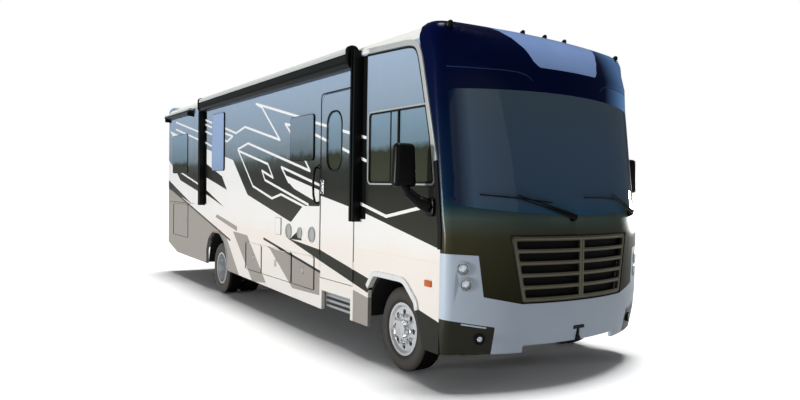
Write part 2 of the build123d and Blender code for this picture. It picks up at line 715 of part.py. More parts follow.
with BuildPart() as side_glass:
    for rear, front, low, high, corner, side in windows:
        with BuildSketch(side_plane(side, glass_inset)):
            with Locations((front_axle_x + (rear + front) / 2, (low + high) / 2)):
                RectangleRounded(front - rear - 2 * glass_clearance, high - low - 2 * glass_clearance,
                                 corner - glass_clearance)
        extrude(amount=-side * glass_thick)
    for side in (1, -1):
        with BuildSketch(side_plane(side, glass_inset)) as cab_pane:
            with BuildLine():
                Polyline(*from_axle(cab_window), close=True)
            make_face()
            fillet(cab_pane.vertices(), cab_corner)
            offset(amount=-glass_clearance, mode=Mode.REPLACE)
        extrude(amount=-side * glass_thick)
side_glass.part.label = "side_glass"
export_step(side_glass.part, "parts/side_glass.step")

mirror_x = front_axle_x + 545.0
mirror_y = half_width + 235
mirror_z = cab_low + 155
mirror_foot = cab_low - 220
with BuildPart() as mirrors:
    for sign in (1, -1):
        with BuildSketch(Plane.YZ.offset(mirror_x - 45)):
            with Locations((sign * mirror_y, mirror_z)):
                RectangleRounded(200, 370, 60)
        extrude(amount=90)
        foot = Vector(front_axle_x + 640, sign * (half_width + 20), mirror_foot)
        head = Vector(mirror_x, sign * (mirror_y - 20), mirror_z - 150)
        with BuildSketch(Plane(origin=foot, z_dir=head - foot)):
            Circle(20)
        extrude(amount=(head - foot).length)
        with BuildSketch(Plane.XZ.offset(-sign * half_width)):
            with Locations((front_axle_x + 640, mirror_foot)):
                RectangleRounded(80, 120, 30)
        extrude(amount=-sign * 22)
mirrors.part.label = "mirrors"
export_step(mirrors.part, "parts/mirrors.step")

# Wipers: pivot Y and height, tip Y and height
wiper_rows = [(-110.0, 1572.0, -930.0, 1765.0), (930.0, 1590.0, 60.0, 1760.0)]
with BuildPart() as wipers:
    add(front_form(-26, 4, 5))
    add(front_form(-8, 4, 5), mode=Mode.SUBTRACT)
    with BuildSketch(nose_plane):
        for pivot_y, pivot_z, tip_y, tip_z in wiper_rows:
            with BuildLine():
                Polyline((pivot_y, pivot_z - 14), (pivot_y, pivot_z + 14), (tip_y, tip_z + 14),
                         (tip_y, tip_z - 14), close=True)
            make_face()
    extrude(amount=nose_reach, mode=Mode.INTERSECT)
    for pivot_y, pivot_z, tip_y, tip_z in wiper_rows:
        x, heading = face_point(4, pivot_y)
        with BuildSketch(Plane.YZ.offset(x - 40)):
            with Locations((pivot_y, pivot_z - 24)):
                Circle(30)
        extrude(amount=62)
    add(front_form(-running_clearance, 3, 5), mode=Mode.SUBTRACT)
wipers.part.label = "wipers"
export_step(wipers.part, "parts/wipers.step")

awning_z = eave_height - 10.0
awning_end = 55.0
roll_depth = 120.0
roll_height = 225.0
roll_corner = 55.0
end_lip = 8.0
arm_low = 1440.0
arm_width = 96.0
arm_depth = 90.0
arm_groove = 28.0
arm_high = awning_z + 60.0
front_arm_x = front_axle_x - 765.0
rear_arm_x = front_axle_x - 6595.0
arm_seat = 6.0
awning_front = front_arm_x - arm_width / 2 + arm_seat - awning_end
awning_rear = rear_arm_x + arm_width / 2 - arm_seat + awning_end
with BuildPart() as awning:
    with BuildSketch(Plane.YZ.offset(awning_rear)):
        with Locations((-half_width - roll_depth / 2, awning_z)):
            RectangleRounded(roll_depth, roll_height, roll_corner)
    extrude(amount=awning_front - awning_rear)
    with Locations(((awning_rear + awning_front) / 2, -half_width - 20, awning_z - 30)):
        Box(awning_front - awning_rear - 40, 40, 60)
    for x in (awning_rear - awning_end, awning_front):
        with BuildSketch(Plane.YZ.offset(x)):
            with Locations((-half_width - (roll_depth + end_lip) / 2, awning_z)):
                RectangleRounded(roll_depth + end_lip, roll_height + 2 * end_lip, roll_corner)
        extrude(amount=awning_end)
    for x in (front_arm_x, rear_arm_x):
        with Locations((x, -half_width - arm_depth / 2, (arm_low + arm_high) / 2)):
            Box(arm_width, arm_depth, arm_high - arm_low)
        with Locations((x, -half_width - arm_depth, (arm_low + arm_high) / 2)):
            Box(arm_groove, arm_groove, arm_high - arm_low, mode=Mode.SUBTRACT)
awning.part.label = "awning"
export_step(awning.part, "parts/awning.step")

# Receiver at the rear: square tube with a cross pin hole
receiver_z = 515.0
receiver_outer = 64.0
receiver_inner = 51.0
pin_radius = 8.0
with BuildPart() as hitch:
    with Locations((rear_face + 40, 0, rail_bottom - 45)):
        Box(100, 2 * rail_centre + rail_width, 90)
    with Locations((rear_face - 35, 0, receiver_z)):
        Box(150, receiver_outer, receiver_outer)
    with Locations((rear_face - 60, 0, receiver_z)):
        Box(150, receiver_inner, receiver_inner, mode=Mode.SUBTRACT)
    with Locations((rear_face - 65, 0, receiver_z)):
        Cylinder(pin_radius, 200, rotation=(90, 0, 0), mode=Mode.SUBTRACT)
hitch.part.label = "hitch"
export_step(hitch.part, "parts/hitch.step")

# Liners: axle X, clear radius, inner edge
liner_rows = [(front_axle_x + 15, 592.0, 650.0), (rear_axle_x, 612.0, 640.0)]
liner_sheet = 8.0
liner_outer = half_width - skirt_thick - panel_seam
with BuildPart() as wheel_wells:
    for axle_x, radius, inner in liner_rows:
        for sign in (1, -1):
            with BuildSketch(Plane.XZ.offset(-sign * inner)):
                with Locations((axle_x, tyre_radius)):
                    Circle(radius + liner_sheet)
                    Circle(radius, mode=Mode.SUBTRACT)
                with Locations((axle_x, tyre_radius + 40 - 500)):
                    Rectangle(1500, 1000, mode=Mode.SUBTRACT)
            extrude(amount=-sign * (liner_outer - inner))
wheel_wells.part.label = "wheel_wells"
export_step(wheel_wells.part, "parts/wheel_wells.step")

bay_outer = half_width - wall_thick - panel_seam
with BuildPart() as baggage_bays:
    for name, rear, front, low, high, side in bay_doors:
        tall = high > belt_height
        top = high + 20 if tall else floor_bottom
        length = front - rear - 2
        middle_x = front_axle_x + (rear + front) / 2
        middle_y = -side * (bay_inner + bay_outer) / 2
        base = low - 25
        with Locations((middle_x, middle_y, (base + top) / 2)):
            Box(length, bay_outer - bay_inner, top - base)
        lid = bay_sheet if tall else -bay_sheet
        with Locations((middle_x, middle_y - side * bay_sheet, (base + bay_sheet + top - lid) / 2)):
            Box(length - 2 * bay_sheet, bay_outer - bay_inner, top - lid - base - bay_sheet, mode=Mode.SUBTRACT)
        if tall and side == 1:
            runner = slide_low - running_clearance
            for x in (middle_x - 400, middle_x + 400):
                with Locations((x, middle_y, (top + runner) / 2)):
                    Box(80, bay_outer - bay_inner, runner - top)
baggage_bays.part.label = "baggage_bays"
export_step(baggage_bays.part, "parts/baggage_bays.step")

with BuildPart() as entry_step:
    step_x = front_axle_x + (step_rear + step_front) / 2
    step_length = step_front - step_rear - 40
    step_y = 215.0 - half_width
    for sign in (1, -1):
        with Locations((step_x + sign * (step_length / 2 - 6), step_y, (400 + well_floor) / 2)):
            Box(12, 330, well_floor - 400)
    with Locations((step_x, step_y, 570)):
        Box(step_length, 330, 24)
    for z in (420, 480, 540):
        with Locations((step_x, step_y - 155, z)):
            Box(step_length, 20, 30)
entry_step.part.label = "entry_step"
export_step(entry_step.part, "parts/entry_step.step")

with BuildPart() as grab_handle:
    handle_x = front_axle_x + door_rear - 65.0
    handle_low = door_low + 860.0
    handle_high = door_low + 1295.0
    with BuildLine() as handle_path:
        Polyline((handle_x, -half_width, handle_low), (handle_x, -half_width - 70, handle_low + 50),
                 (handle_x, -half_width - 70, handle_high - 50), (handle_x, -half_width, handle_high))
    with BuildSketch(Plane(origin=handle_path.line @ 0, z_dir=handle_path.line % 0)):
        Circle(13)
    sweep(transition=Transition.ROUND)
    with Locations((handle_x, -half_width + 100, (handle_low + handle_high) / 2)):
        Box(200, 200, handle_high - handle_low + 300, mode=Mode.SUBTRACT)
grab_handle.part.label = "grab_handle"
export_step(grab_handle.part, "parts/grab_handle.step")

dash_line = [(570, floor_top), (775, floor_top), (775, 1500), (700, 1560), (520, 1490), (570, 1380)]
with BuildPart() as dashboard:
    dash_half = half_width - 135.0
    with BuildSketch(Plane.XZ.offset(dash_half)):
        with BuildLine():
            Polyline(*from_axle(dash_line), close=True)
        make_face()
    extrude(amount=-2 * dash_half)
dashboard.part.label = "dashboard"
export_step(dashboard.part, "parts/dashboard.step")

seat_y = 520.0
wheel_centre = Vector(front_axle_x + 330, seat_y, 1790)
column_end = Vector(front_axle_x + 548, seat_y, 1410)
with BuildPart() as steering_wheel:
    with BuildSketch(Plane(origin=column_end, z_dir=wheel_centre - column_end)):
        Circle(32)
    extrude(amount=(wheel_centre - column_end).length)
    with Locations(Plane(origin=wheel_centre, z_dir=wheel_centre - column_end)):
        Box(60, 420, 16)
        Box(420, 60, 16)
        Cylinder(70, 40)
    ring_axis = Axis(wheel_centre, wheel_centre - column_end)
    ring_facing = (wheel_centre - column_end).cross(Vector(0, 1, 0))
    with BuildSketch(Plane(origin=wheel_centre, x_dir=(0, 1, 0), z_dir=ring_facing)):
        with Locations((215, 0)):
            RegularPolygon(17, 6)
    revolve(axis=ring_axis)
    with BuildSketch(Plane.XZ.offset(-seat_y + 100)):
        with BuildLine():
            Polyline(*from_axle(dash_line), close=True)
        make_face()
        offset(amount=running_clearance, mode=Mode.REPLACE)
    extrude(amount=-200, mode=Mode.SUBTRACT)
steering_wheel.part.label = "steering_wheel"
export_step(steering_wheel.part, "parts/steering_wheel.step")

seat_line = [(-180, floor_top), (220, floor_top), (220, 1400), (320, 1430), (330, 1540), (-130, 1520),
             (-250, 2010), (-240, 2180), (-330, 2190), (-370, 2000), (-260, 1430), (-180, 1400)]
with BuildPart() as seats:
    for y in (seat_y, -seat_y):
        with BuildSketch(Plane.XZ.offset(-y + 250)):
            with BuildLine():
                Polyline(*from_axle(seat_line), close=True)
            make_face()
        extrude(amount=-500)
seats.part.label = "seats"
export_step(seats.part, "parts/seats.step")

sides = [("right", -1), ("left", 1)]
for name, sign in sides:
    with BuildPart() as knuckle:
        with Locations((front_axle_x, sign * kingpin_y, tyre_radius)):
            Cylinder(kingpin_radius, 230)
        with Locations((front_axle_x, sign * (kingpin_y + 20), tyre_radius + 95),
                       (front_axle_x, sign * (kingpin_y + 20), tyre_radius - 95)):
            Box(80, 120, 40)
        with Locations((front_axle_x, sign * (kingpin_y + 66), tyre_radius)):
            Box(100, 28, 230)
        with BuildSketch(Plane.XZ.offset(-sign * (kingpin_y + 60))):
            with Locations((front_axle_x, tyre_radius)):
                Circle(spindle_radius)
        extrude(amount=-sign * (front_wheel_outer - 65 - kingpin_y - 60))
    knuckle.part.label = "knuckle_" + name
    export_step(knuckle.part, "parts/knuckle_" + name + ".step")

    # Section of the front rim: radius, distance from the vehicle's middle
    face = front_wheel_outer
    front_rim_line = [(spindle_radius + running_clearance, face - 215), (hub_radius, face - 215),
                      (hub_radius, face - 50), (200, face - 50), (rim_radius - 12, face - 90),
                      (rim_radius - 12, face - 228),
                      (rim_radius + 14, face - 228), (rim_radius + 14, face - 219), (rim_radius, face - 211),
                      (rim_radius, face - 34), (rim_radius + 14, face - 26), (rim_radius + 14, face - 16),
                      (rim_radius - 10, face - 16), (215, face - 36), (hub_radius - 10, face - 30),
                      (hub_radius - 20, face + 15), (0, face + 25), (0, face - 55),
                      (spindle_radius + running_clearance, face - 55)]
    with BuildPart() as wheel_front:
        with BuildSketch(Plane.YZ.offset(front_axle_x)):
            with BuildLine():
                Polyline(*[(sign * y, tyre_radius + r) for r, y in front_rim_line], close=True)
            make_face()
        revolve(axis=Axis((front_axle_x, 0, tyre_radius), (0, 1, 0)))
        with Locations(Plane(origin=(front_axle_x, sign * (face - 50), tyre_radius), z_dir=(0, 1, 0))):
            with PolarLocations(172, 8):
                Cylinder(26, 200, mode=Mode.SUBTRACT)
    wheel_front.part.label = "wheel_front_" + name
    export_step(wheel_front.part, "parts/wheel_front_" + name + ".step")

    # Section of a tyre: radius, distance from its mid plane
    bead = rim_radius + running_clearance
    half = tyre_width / 2
    tyre_line = [(bead, -half + 35), (330, -half), (390, -half + 6), (tyre_radius, -half + 34),
                 (tyre_radius, half - 34), (390, half - 6), (330, half), (bead, half - 35)]
    with BuildPart() as tyre_front:
        middle = sign * (front_wheel_outer - half)
        with BuildSketch(Plane.YZ.offset(front_axle_x)):
            with BuildLine():
                Polyline(*[(middle + y, tyre_radius + r) for r, y in tyre_line], close=True)
            make_face()
        revolve(axis=Axis((front_axle_x, 0, tyre_radius), (0, 1, 0)))
    tyre_front.part.label = "tyre_front_" + name
    export_step(tyre_front.part, "parts/tyre_front_" + name + ".step")

    face = rear_wheel_outer
    inner = rear_wheel_outer - twin_spacing
    disc = (face - half + inner - half) / 2
    tube = axle_tube_radius + running_clearance
    rear_rim_line = [(tube, disc - 110), (hub_radius + 15, disc - 110), (hub_radius + 15, disc - 12),
                     (205, disc - 12), (rim_radius - 12, disc - 42), (rim_radius - 12, inner - 228),
                     (rim_radius + 14, inner - 228), (rim_radius + 14, inner - 219), (rim_radius, inner - 211),
                     (rim_radius, inner - 34), (rim_radius + 12, inner - 27), (215, disc),
                     (rim_radius + 12, face - 218), (rim_radius, face - 211), (rim_radius, face - 34),
                     (rim_radius + 14, face - 26),
                     (rim_radius + 14, face - 16), (rim_radius - 12, face - 16), (rim_radius - 12, disc + 42),
                     (205, disc + 12), (hub_radius, disc + 12), (hub_radius - 10, disc + 150), (0, disc + 165),
                     (0, disc + 30), (tube, disc + 30)]
    with BuildPart() as wheel_rear:
        with BuildSketch(Plane.YZ.offset(rear_axle_x)):
            with BuildLine():
                Polyline(*[(sign * y, tyre_radius + r) for r, y in rear_rim_line], close=True)
            make_face()
        revolve(axis=Axis((rear_axle_x, 0, tyre_radius), (0, 1, 0)))
        with Locations(Plane(origin=(rear_axle_x, sign * disc, tyre_radius), z_dir=(0, 1, 0))):
            with PolarLocations(168, 8):
                Cylinder(26, 120, mode=Mode.SUBTRACT)
    wheel_rear.part.label = "wheel_rear_" + name
    export_step(wheel_rear.part, "parts/wheel_rear_" + name + ".step")

    with BuildPart() as tyre_rear:
        for edge in (face, inner):
            with BuildSketch(Plane.YZ.offset(rear_axle_x)):
                with BuildLine():
                    Polyline(*[(sign * (edge - half) + y, tyre_radius + r) for r, y in tyre_line], close=True)
                make_face()
            revolve(axis=Axis((rear_axle_x, 0, tyre_radius), (0, 1, 0)))
    tyre_rear.part.label = "tyre_rear_" + name
    export_step(tyre_rear.part, "parts/tyre_rear_" + name + ".step")

with BuildPart() as entry_door:
    with BuildSketch(side_plane(1)) as door_leaf:
        with Locations((front_axle_x + (door_rear + door_front - leaf_gap) / 2, (door_low + door_high) / 2)):
            Rectangle(door_front - leaf_gap - door_rear, door_high - door_low)
        fillet(door_leaf.vertices().group_by(Axis.Y)[-1], door_corner - leaf_gap)
        rear, front, low, high, corner = door_window
        with Locations((front_axle_x + (rear + front) / 2, (low + high) / 2)):
            RectangleRounded(front - rear, high - low, corner, mode=Mode.SUBTRACT)
    extrude(amount=-leaf_thick)
    bead_low = hinge_low + leaf_gap
    bead_high = door_high - 150 - leaf_gap
    with Locations((front_axle_x + door_front, -half_width, (bead_low + bead_high) / 2)):
        Cylinder(hinge_radius, bead_high - bead_low)
    with Locations((front_axle_x + door_rear + 55, -half_width - 9, door_low + latch_rise)):
        Box(70, 18, 120)
entry_door.part.label = "entry_door"
export_step(entry_door.part, "parts/entry_door.step")

with BuildPart() as entry_door_glass:
    rear, front, low, high, corner = door_window
    with BuildSketch(side_plane(1, glass_inset)):
        with Locations((front_axle_x + (rear + front) / 2, (low + high) / 2)):
            RectangleRounded(front - rear - 2 * glass_clearance, high - low - 2 * glass_clearance,
                             corner - glass_clearance)
    extrude(amount=-glass_thick)
entry_door_glass.part.label = "entry_door_glass"
export_step(entry_door_glass.part, "parts/entry_door_glass.step")

for name, rear, front, low, high, side in bay_doors:
    leaf_length = front - rear - 2 * bay_jamb - 2 * leaf_gap
    with BuildPart() as bay_door:
        with BuildSketch(side_plane(side)):
            with Locations((front_axle_x + (rear + front) / 2, (low + high - leaf_gap) / 2)):
                Rectangle(leaf_length, high - leaf_gap - low)
        extrude(amount=-side * leaf_thick)
        with Locations((front_axle_x + (rear + front) / 2, -side * half_width, high)):
            Cylinder(hinge_radius, leaf_length, rotation=(0, 90, 0))
    bay_door.part.label = name
    export_step(bay_door.part, "parts/" + name + ".step")

slide_x = front_axle_x + (slide_rear + slide_front) / 2
with BuildPart() as slide_out:
    with Locations((slide_x, -half_width + slide_depth / 2, (slide_low + slide_high) / 2)):
        Box(slide_front - slide_rear, slide_depth, slide_high - slide_low)
    with Locations((slide_x, -half_width + slide_depth / 2 + slide_sheet, (slide_low + slide_high) / 2)):
        Box(slide_front - slide_rear - 2 * slide_sheet, slide_depth, slide_high - slide_low - 2 * slide_sheet,
            mode=Mode.SUBTRACT)
    rear, front, low, high, corner = slide_window
    with BuildSketch(side_plane(1)):
        with Locations((front_axle_x + (rear + front) / 2, (low + high) / 2)):
            RectangleRounded(front - rear, high - low, corner)
    extrude(amount=-slide_sheet, mode=Mode.SUBTRACT)
slide_out.part.label = "slide_out"
export_step(slide_out.part, "parts/slide_out.step")

with BuildPart() as slide_out_glass:
    rear, front, low, high, corner = slide_window
    with BuildSketch(side_plane(1, glass_inset)):
        with Locations((front_axle_x + (rear + front) / 2, (low + high) / 2)):
            RectangleRounded(front - rear - 2 * glass_clearance, high - low - 2 * glass_clearance,
                             corner - glass_clearance)
    extrude(amount=-glass_thick)
slide_out_glass.part.label = "slide_out_glass"
export_step(slide_out_glass.part, "parts/slide_out_glass.step")

topper_z = slide_high + 55
topper_y = half_width + 62.0
topper_radius = 45.0
with BuildPart() as slide_topper:
    with Locations((slide_x, -topper_y, topper_z)):
        Cylinder(topper_radius, slide_front - slide_rear + 60, rotation=(0, 90, 0))
    for x in (slide_rear + 40, slide_front - 40):
        with Locations((front_axle_x + x, -half_width - 60, topper_z - 30)):
            Box(30, 100, 130)
        with Locations((front_axle_x + x, -half_width - 10, slide_high - 25)):
            Box(30, 20, 50)
slide_topper.part.label = "slide_topper"
export_step(slide_topper.part, "parts/slide_topper.step")
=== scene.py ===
import math

import bmesh
import bpy
from mathutils import Matrix, Quaternion, Vector
from mathutils.geometry import interpolate_bezier


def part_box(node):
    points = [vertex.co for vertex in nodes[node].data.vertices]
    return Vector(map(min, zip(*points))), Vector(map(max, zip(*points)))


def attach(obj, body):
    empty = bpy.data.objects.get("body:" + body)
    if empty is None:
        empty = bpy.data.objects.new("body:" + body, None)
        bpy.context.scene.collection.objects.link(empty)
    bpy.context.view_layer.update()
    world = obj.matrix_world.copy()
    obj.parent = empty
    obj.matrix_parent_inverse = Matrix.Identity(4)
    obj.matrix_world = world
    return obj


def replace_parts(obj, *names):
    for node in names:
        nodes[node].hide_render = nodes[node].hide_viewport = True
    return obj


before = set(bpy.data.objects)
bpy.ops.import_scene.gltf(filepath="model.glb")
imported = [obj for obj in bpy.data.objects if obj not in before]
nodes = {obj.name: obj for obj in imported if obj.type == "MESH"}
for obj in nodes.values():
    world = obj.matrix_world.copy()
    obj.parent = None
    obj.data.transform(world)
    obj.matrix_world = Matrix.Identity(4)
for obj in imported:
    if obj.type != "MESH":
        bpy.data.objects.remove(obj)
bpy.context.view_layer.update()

# Places on the coach, in metres, taken from the frame
tyreLow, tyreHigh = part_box("tyre_front_right")
wallLow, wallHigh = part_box("wall_right")
frontAxleX = (tyreLow.x + tyreHigh.x) / 2
axleZ = (tyreLow.z + tyreHigh.z) / 2
sideY = -wallLow.y                       # outer face of either wall, from the middle
rearAxleX = sum(corner.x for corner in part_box("tyre_rear_right")) / 2
eaveZ = wallHigh.z
sides = {"right": -1, "left": 1}


# A point on a side wall from its X off the front axle, its height and how far it stands out
def onWall(x, z, side=-1, out=0.0):
    return Vector((frontAxleX + x, side * (sideY + out), z))


# Nose of the front by height: height, reach ahead of the front axle
noseRows = [(0.34, 1.222), (0.56, 1.270), (0.76, 1.290), (1.40, 1.286), (1.56, 1.252), (2.735, 1.088),
            (2.95, 1.072)]
noseRadius = 2.2


def noseHeading(y):
    return math.asin(y / noseRadius)


# A point on the curved front, at the nose's own reach unless another is given
def onNose(y, z, out=0.0, reach=None):
    rows = list(zip(noseRows, noseRows[1:]))
    (lowZ, lowX), (highZ, highX) = next((pair for pair in rows if z <= pair[1][0]), rows[-1])
    reach = reach or lowX + (highX - lowX) * (z - lowZ) / (highZ - lowZ)
    heading = noseHeading(y)
    radius = noseRadius + out
    ahead = frontAxleX + reach - noseRadius + radius * math.cos(heading)
    return Vector((ahead, radius * math.sin(heading), z))


# Colour from sRGB hex to linear
def toLinear(hexColour):
    parts = [int(hexColour[start:start + 2], 16) / 255 for start in (1, 3, 5)]
    return [part / 12.92 if part <= 0.04045 else ((part + 0.055) / 1.055) ** 2.4 for part in parts] + [1.0]


# One node with its settings; an input takes a value or another node's output
def addNode(tree, kind, inputs=None, **settings):
    node = tree.nodes.new("ShaderNode" + kind)
    for name, value in settings.items():
        setattr(node, name, value)
    for socket, value in (inputs or {}).items():
        if isinstance(value, bpy.types.NodeSocket):
            tree.links.new(value, node.inputs[socket])
        else:
            node.inputs[socket].default_value = value
    return node


# Results of single nodes: arithmetic, vectors, the share of the way between two limits, noise
def calc(tree, operation, *terms):
    return addNode(tree, "Math", dict(enumerate(terms)), operation=operation).outputs[0]


def vectorCalc(tree, operation, result, *terms):
    return addNode(tree, "VectorMath", dict(enumerate(terms)), operation=operation).outputs[result]


def shareOf(tree, value, start, end, most=1.0):
    limits = {"Value": value, "From Min": start, "From Max": end, "To Max": most}
    return addNode(tree, "MapRange", limits).outputs["Result"]


def noise(tree, place, scale, detail=2.0, rough=0.5):
    look = {"Vector": place, "Scale": scale, "Detail": detail, "Roughness": rough}
    return addNode(tree, "TexNoise", look).outputs["Fac"]


# One colour over another through a mask, each of them hex or an output
def paintOver(tree, below, mask, colour):
    tones = [toLinear(tone) if isinstance(tone, str) else tone for tone in (below, colour)]
    inputs = {"Factor": mask, "A": tones[0], "B": tones[1]}
    return addNode(tree, "Mix", inputs, data_type="RGBA").outputs["Result"]


finishes = {}


# Empty finish kept under its name: its tree, its shader and the piece's own coordinates
def newFinish(name, sockets):
    material = bpy.data.materials.new(name)
    material.use_nodes = True
    finishes[name] = material
    tree = material.node_tree
    shader = tree.nodes["Principled BSDF"]
    for socket, value in sockets.items():
        shader.inputs[socket].default_value = value
    return tree, shader, addNode(tree, "TexCoord").outputs["Object"]


# Two close colours in soft patches, a varied roughness and a fine relief, all sized in millimetres
def addGrain(tree, shader, place, colours, grainMm, rough, reliefMm=0.0):
    cloud = noise(tree, place, 1000 / grainMm, 4.0)
    colour = paintOver(tree, colours[0], cloud, colours[1])
    gloss = addNode(tree, "MapRange", {"Value": cloud, "To Min": rough[0], "To Max": rough[1]})
    tree.links.new(colour, shader.inputs["Base Color"])
    tree.links.new(gloss.outputs["Result"], shader.inputs["Roughness"])
    if reliefMm:
        bump = addNode(tree, "Bump", {"Height": cloud, "Strength": 0.6, "Distance": reliefMm / 1000})
        tree.links.new(bump.outputs["Normal"], shader.inputs["Normal"])
    return colour


# Plain finishes: colours, patch size in mm, roughness range, relief in mm, shader settings
plainFinishes = {
    # Polished cast aluminium: bright, with faint turning marks
    "polishedAluminium": (("#eceeef", "#d6d9dc"), 40, (0.12, 0.26), 0.0, {"Metallic": 0.6}),
    # Chrome plate: mirror bright
    "chromePlate": (("#eef0f2", "#e2e5e8"), 90, (0.03, 0.09), 0.0, {"Metallic": 1.0}),
    # Brushed aluminium extrusion: satin, slightly streaked
    "brushedAluminium": (("#c6c9cb", "#aeb2b5"), 8, (0.26, 0.42), 0.05, {"Metallic": 1.0}),
    # Moulded black ABS: fine leather grain that breaks up the gloss
    "blackPlastic": (("#060706", "#0e0f0e"), 3, (0.30, 0.46), 0.10, {"Specular IOR Level": 0.15}),
    # Black powder coat on aluminium extrusions
    "blackPowderCoat": (("#070908", "#0f1110"), 2, (0.26, 0.38), 0.04, {"Specular IOR Level": 0.15}),
    # EPDM rubber seals: dull black
    "sealRubber": (("#060606", "#10100f"), 6, (0.62, 0.80), 0.10, {"Specular IOR Level": 0.2}),
    # Chassis enamel over steel with road dust
    "chassisEnamel": (("#141414", "#2e2a25"), 120, (0.45, 0.80), 0.30, {}),
    # Cast iron and alloy of the drive line, oily and dusty
    "castIron": (("#3a3835", "#57524b"), 60, (0.50, 0.78), 0.40, {"Metallic": 0.6}),
    # Spring steel leaves with a brown bloom
    "springSteel": (("#2b2724", "#453a31"), 70, (0.55, 0.80), 0.30, {"Metallic": 0.5}),
    # Moulded polyethylene tank
    "tankPlastic": (("#1b1c1c", "#2a2b2b"), 30, (0.40, 0.60), 0.20, {}),
    # Aluminised steel of the exhaust, browned by heat
    "aluminisedSteel": (("#8d8a84", "#6a5d50"), 90, (0.35, 0.60), 0.10, {"Metallic": 1.0}),
    # Galvanised sheet of the baggage trays and liners
    "galvanisedSheet": (("#7d8183", "#9a9ea0"), 18, (0.38, 0.60), 0.10, {"Metallic": 0.9}),
    # Black polypropylene of the wheel liners
    "linerPlastic": (("#111111", "#1d1c1b"), 25, (0.60, 0.82), 0.40, {}),
    # White reinforced roof membrane: matt, slightly soiled
    "roofMembrane": (("#e4e4e0", "#d2d1ca"), 260, (0.60, 0.80), 0.40, {}),
    # Sealed plywood floor panel
    "floorPly": (("#4a3a2b", "#5e4a36"), 45, (0.50, 0.70), 0.20, {}),
    # Bronze anodised grille: brown-black with a satin edge light
    "bronzeAnodised": (("#565343", "#686452"), 20, (0.26, 0.40), 0.03, {"Metallic": 0.30}),
    # Lighter copy of the grille bronze for the bars and frame: painted highlight
    "bronzeHighlight": (("#6f6b57", "#827d68"), 20, (0.26, 0.40), 0.03, {"Metallic": 0.30}),
    # Grey moulded dash skin
    "dashSkin": (("#2a2b2d", "#36373a"), 2, (0.55, 0.72), 0.20, {}),
    # Vinyl seat cover: soft grain, low sheen
    "seatVinyl": (("#8b857b", "#7b756c"), 4, (0.45, 0.62), 0.4, {"Sheen Weight": 0.15}),
    # White coated aluminium of drip rails and mouldings
    "whiteCoat": (("#e9eaea", "#dcdede"), 150, (0.22, 0.34), 0.0, {}),
    # Amber polycarbonate lens
    "amberLens": (("#e0721c", "#c85a10"), 10, (0.12, 0.22), 0.0, {"Transmission Weight": 0.15}),
    # Red polycarbonate lens
    "redLens": (("#a8140f", "#8a0d0b"), 10, (0.12, 0.22), 0.0, {"Transmission Weight": 0.15}),
    # Satin silver paint of mouldings, window frames and vents
    "satinSilver": (("#b9bdbb", "#a7aca9"), 200, (0.24, 0.36), 0.0, {"Specular IOR Level": 0.4}),
    # Black sheet behind the grille, the radiator core and painted shade inside the grille: dull fins
    "radiatorCoreAndShade": (("#070707", "#101010"), 4, (0.60, 0.80), 0.30, {"Specular IOR Level": 0.2}),
    # Mirror glass: silvered, faintly blue
    "mirrorGlass": (("#cfd8e0", "#c4ced8"), 200, (0.01, 0.03), 0.0, {"Metallic": 1.0}),
}
for finishName, (colours, grainMm, rough, reliefMm, sockets) in plainFinishes.items():
    addGrain(*newFinish(finishName, sockets), colours, grainMm, rough, reliefMm)

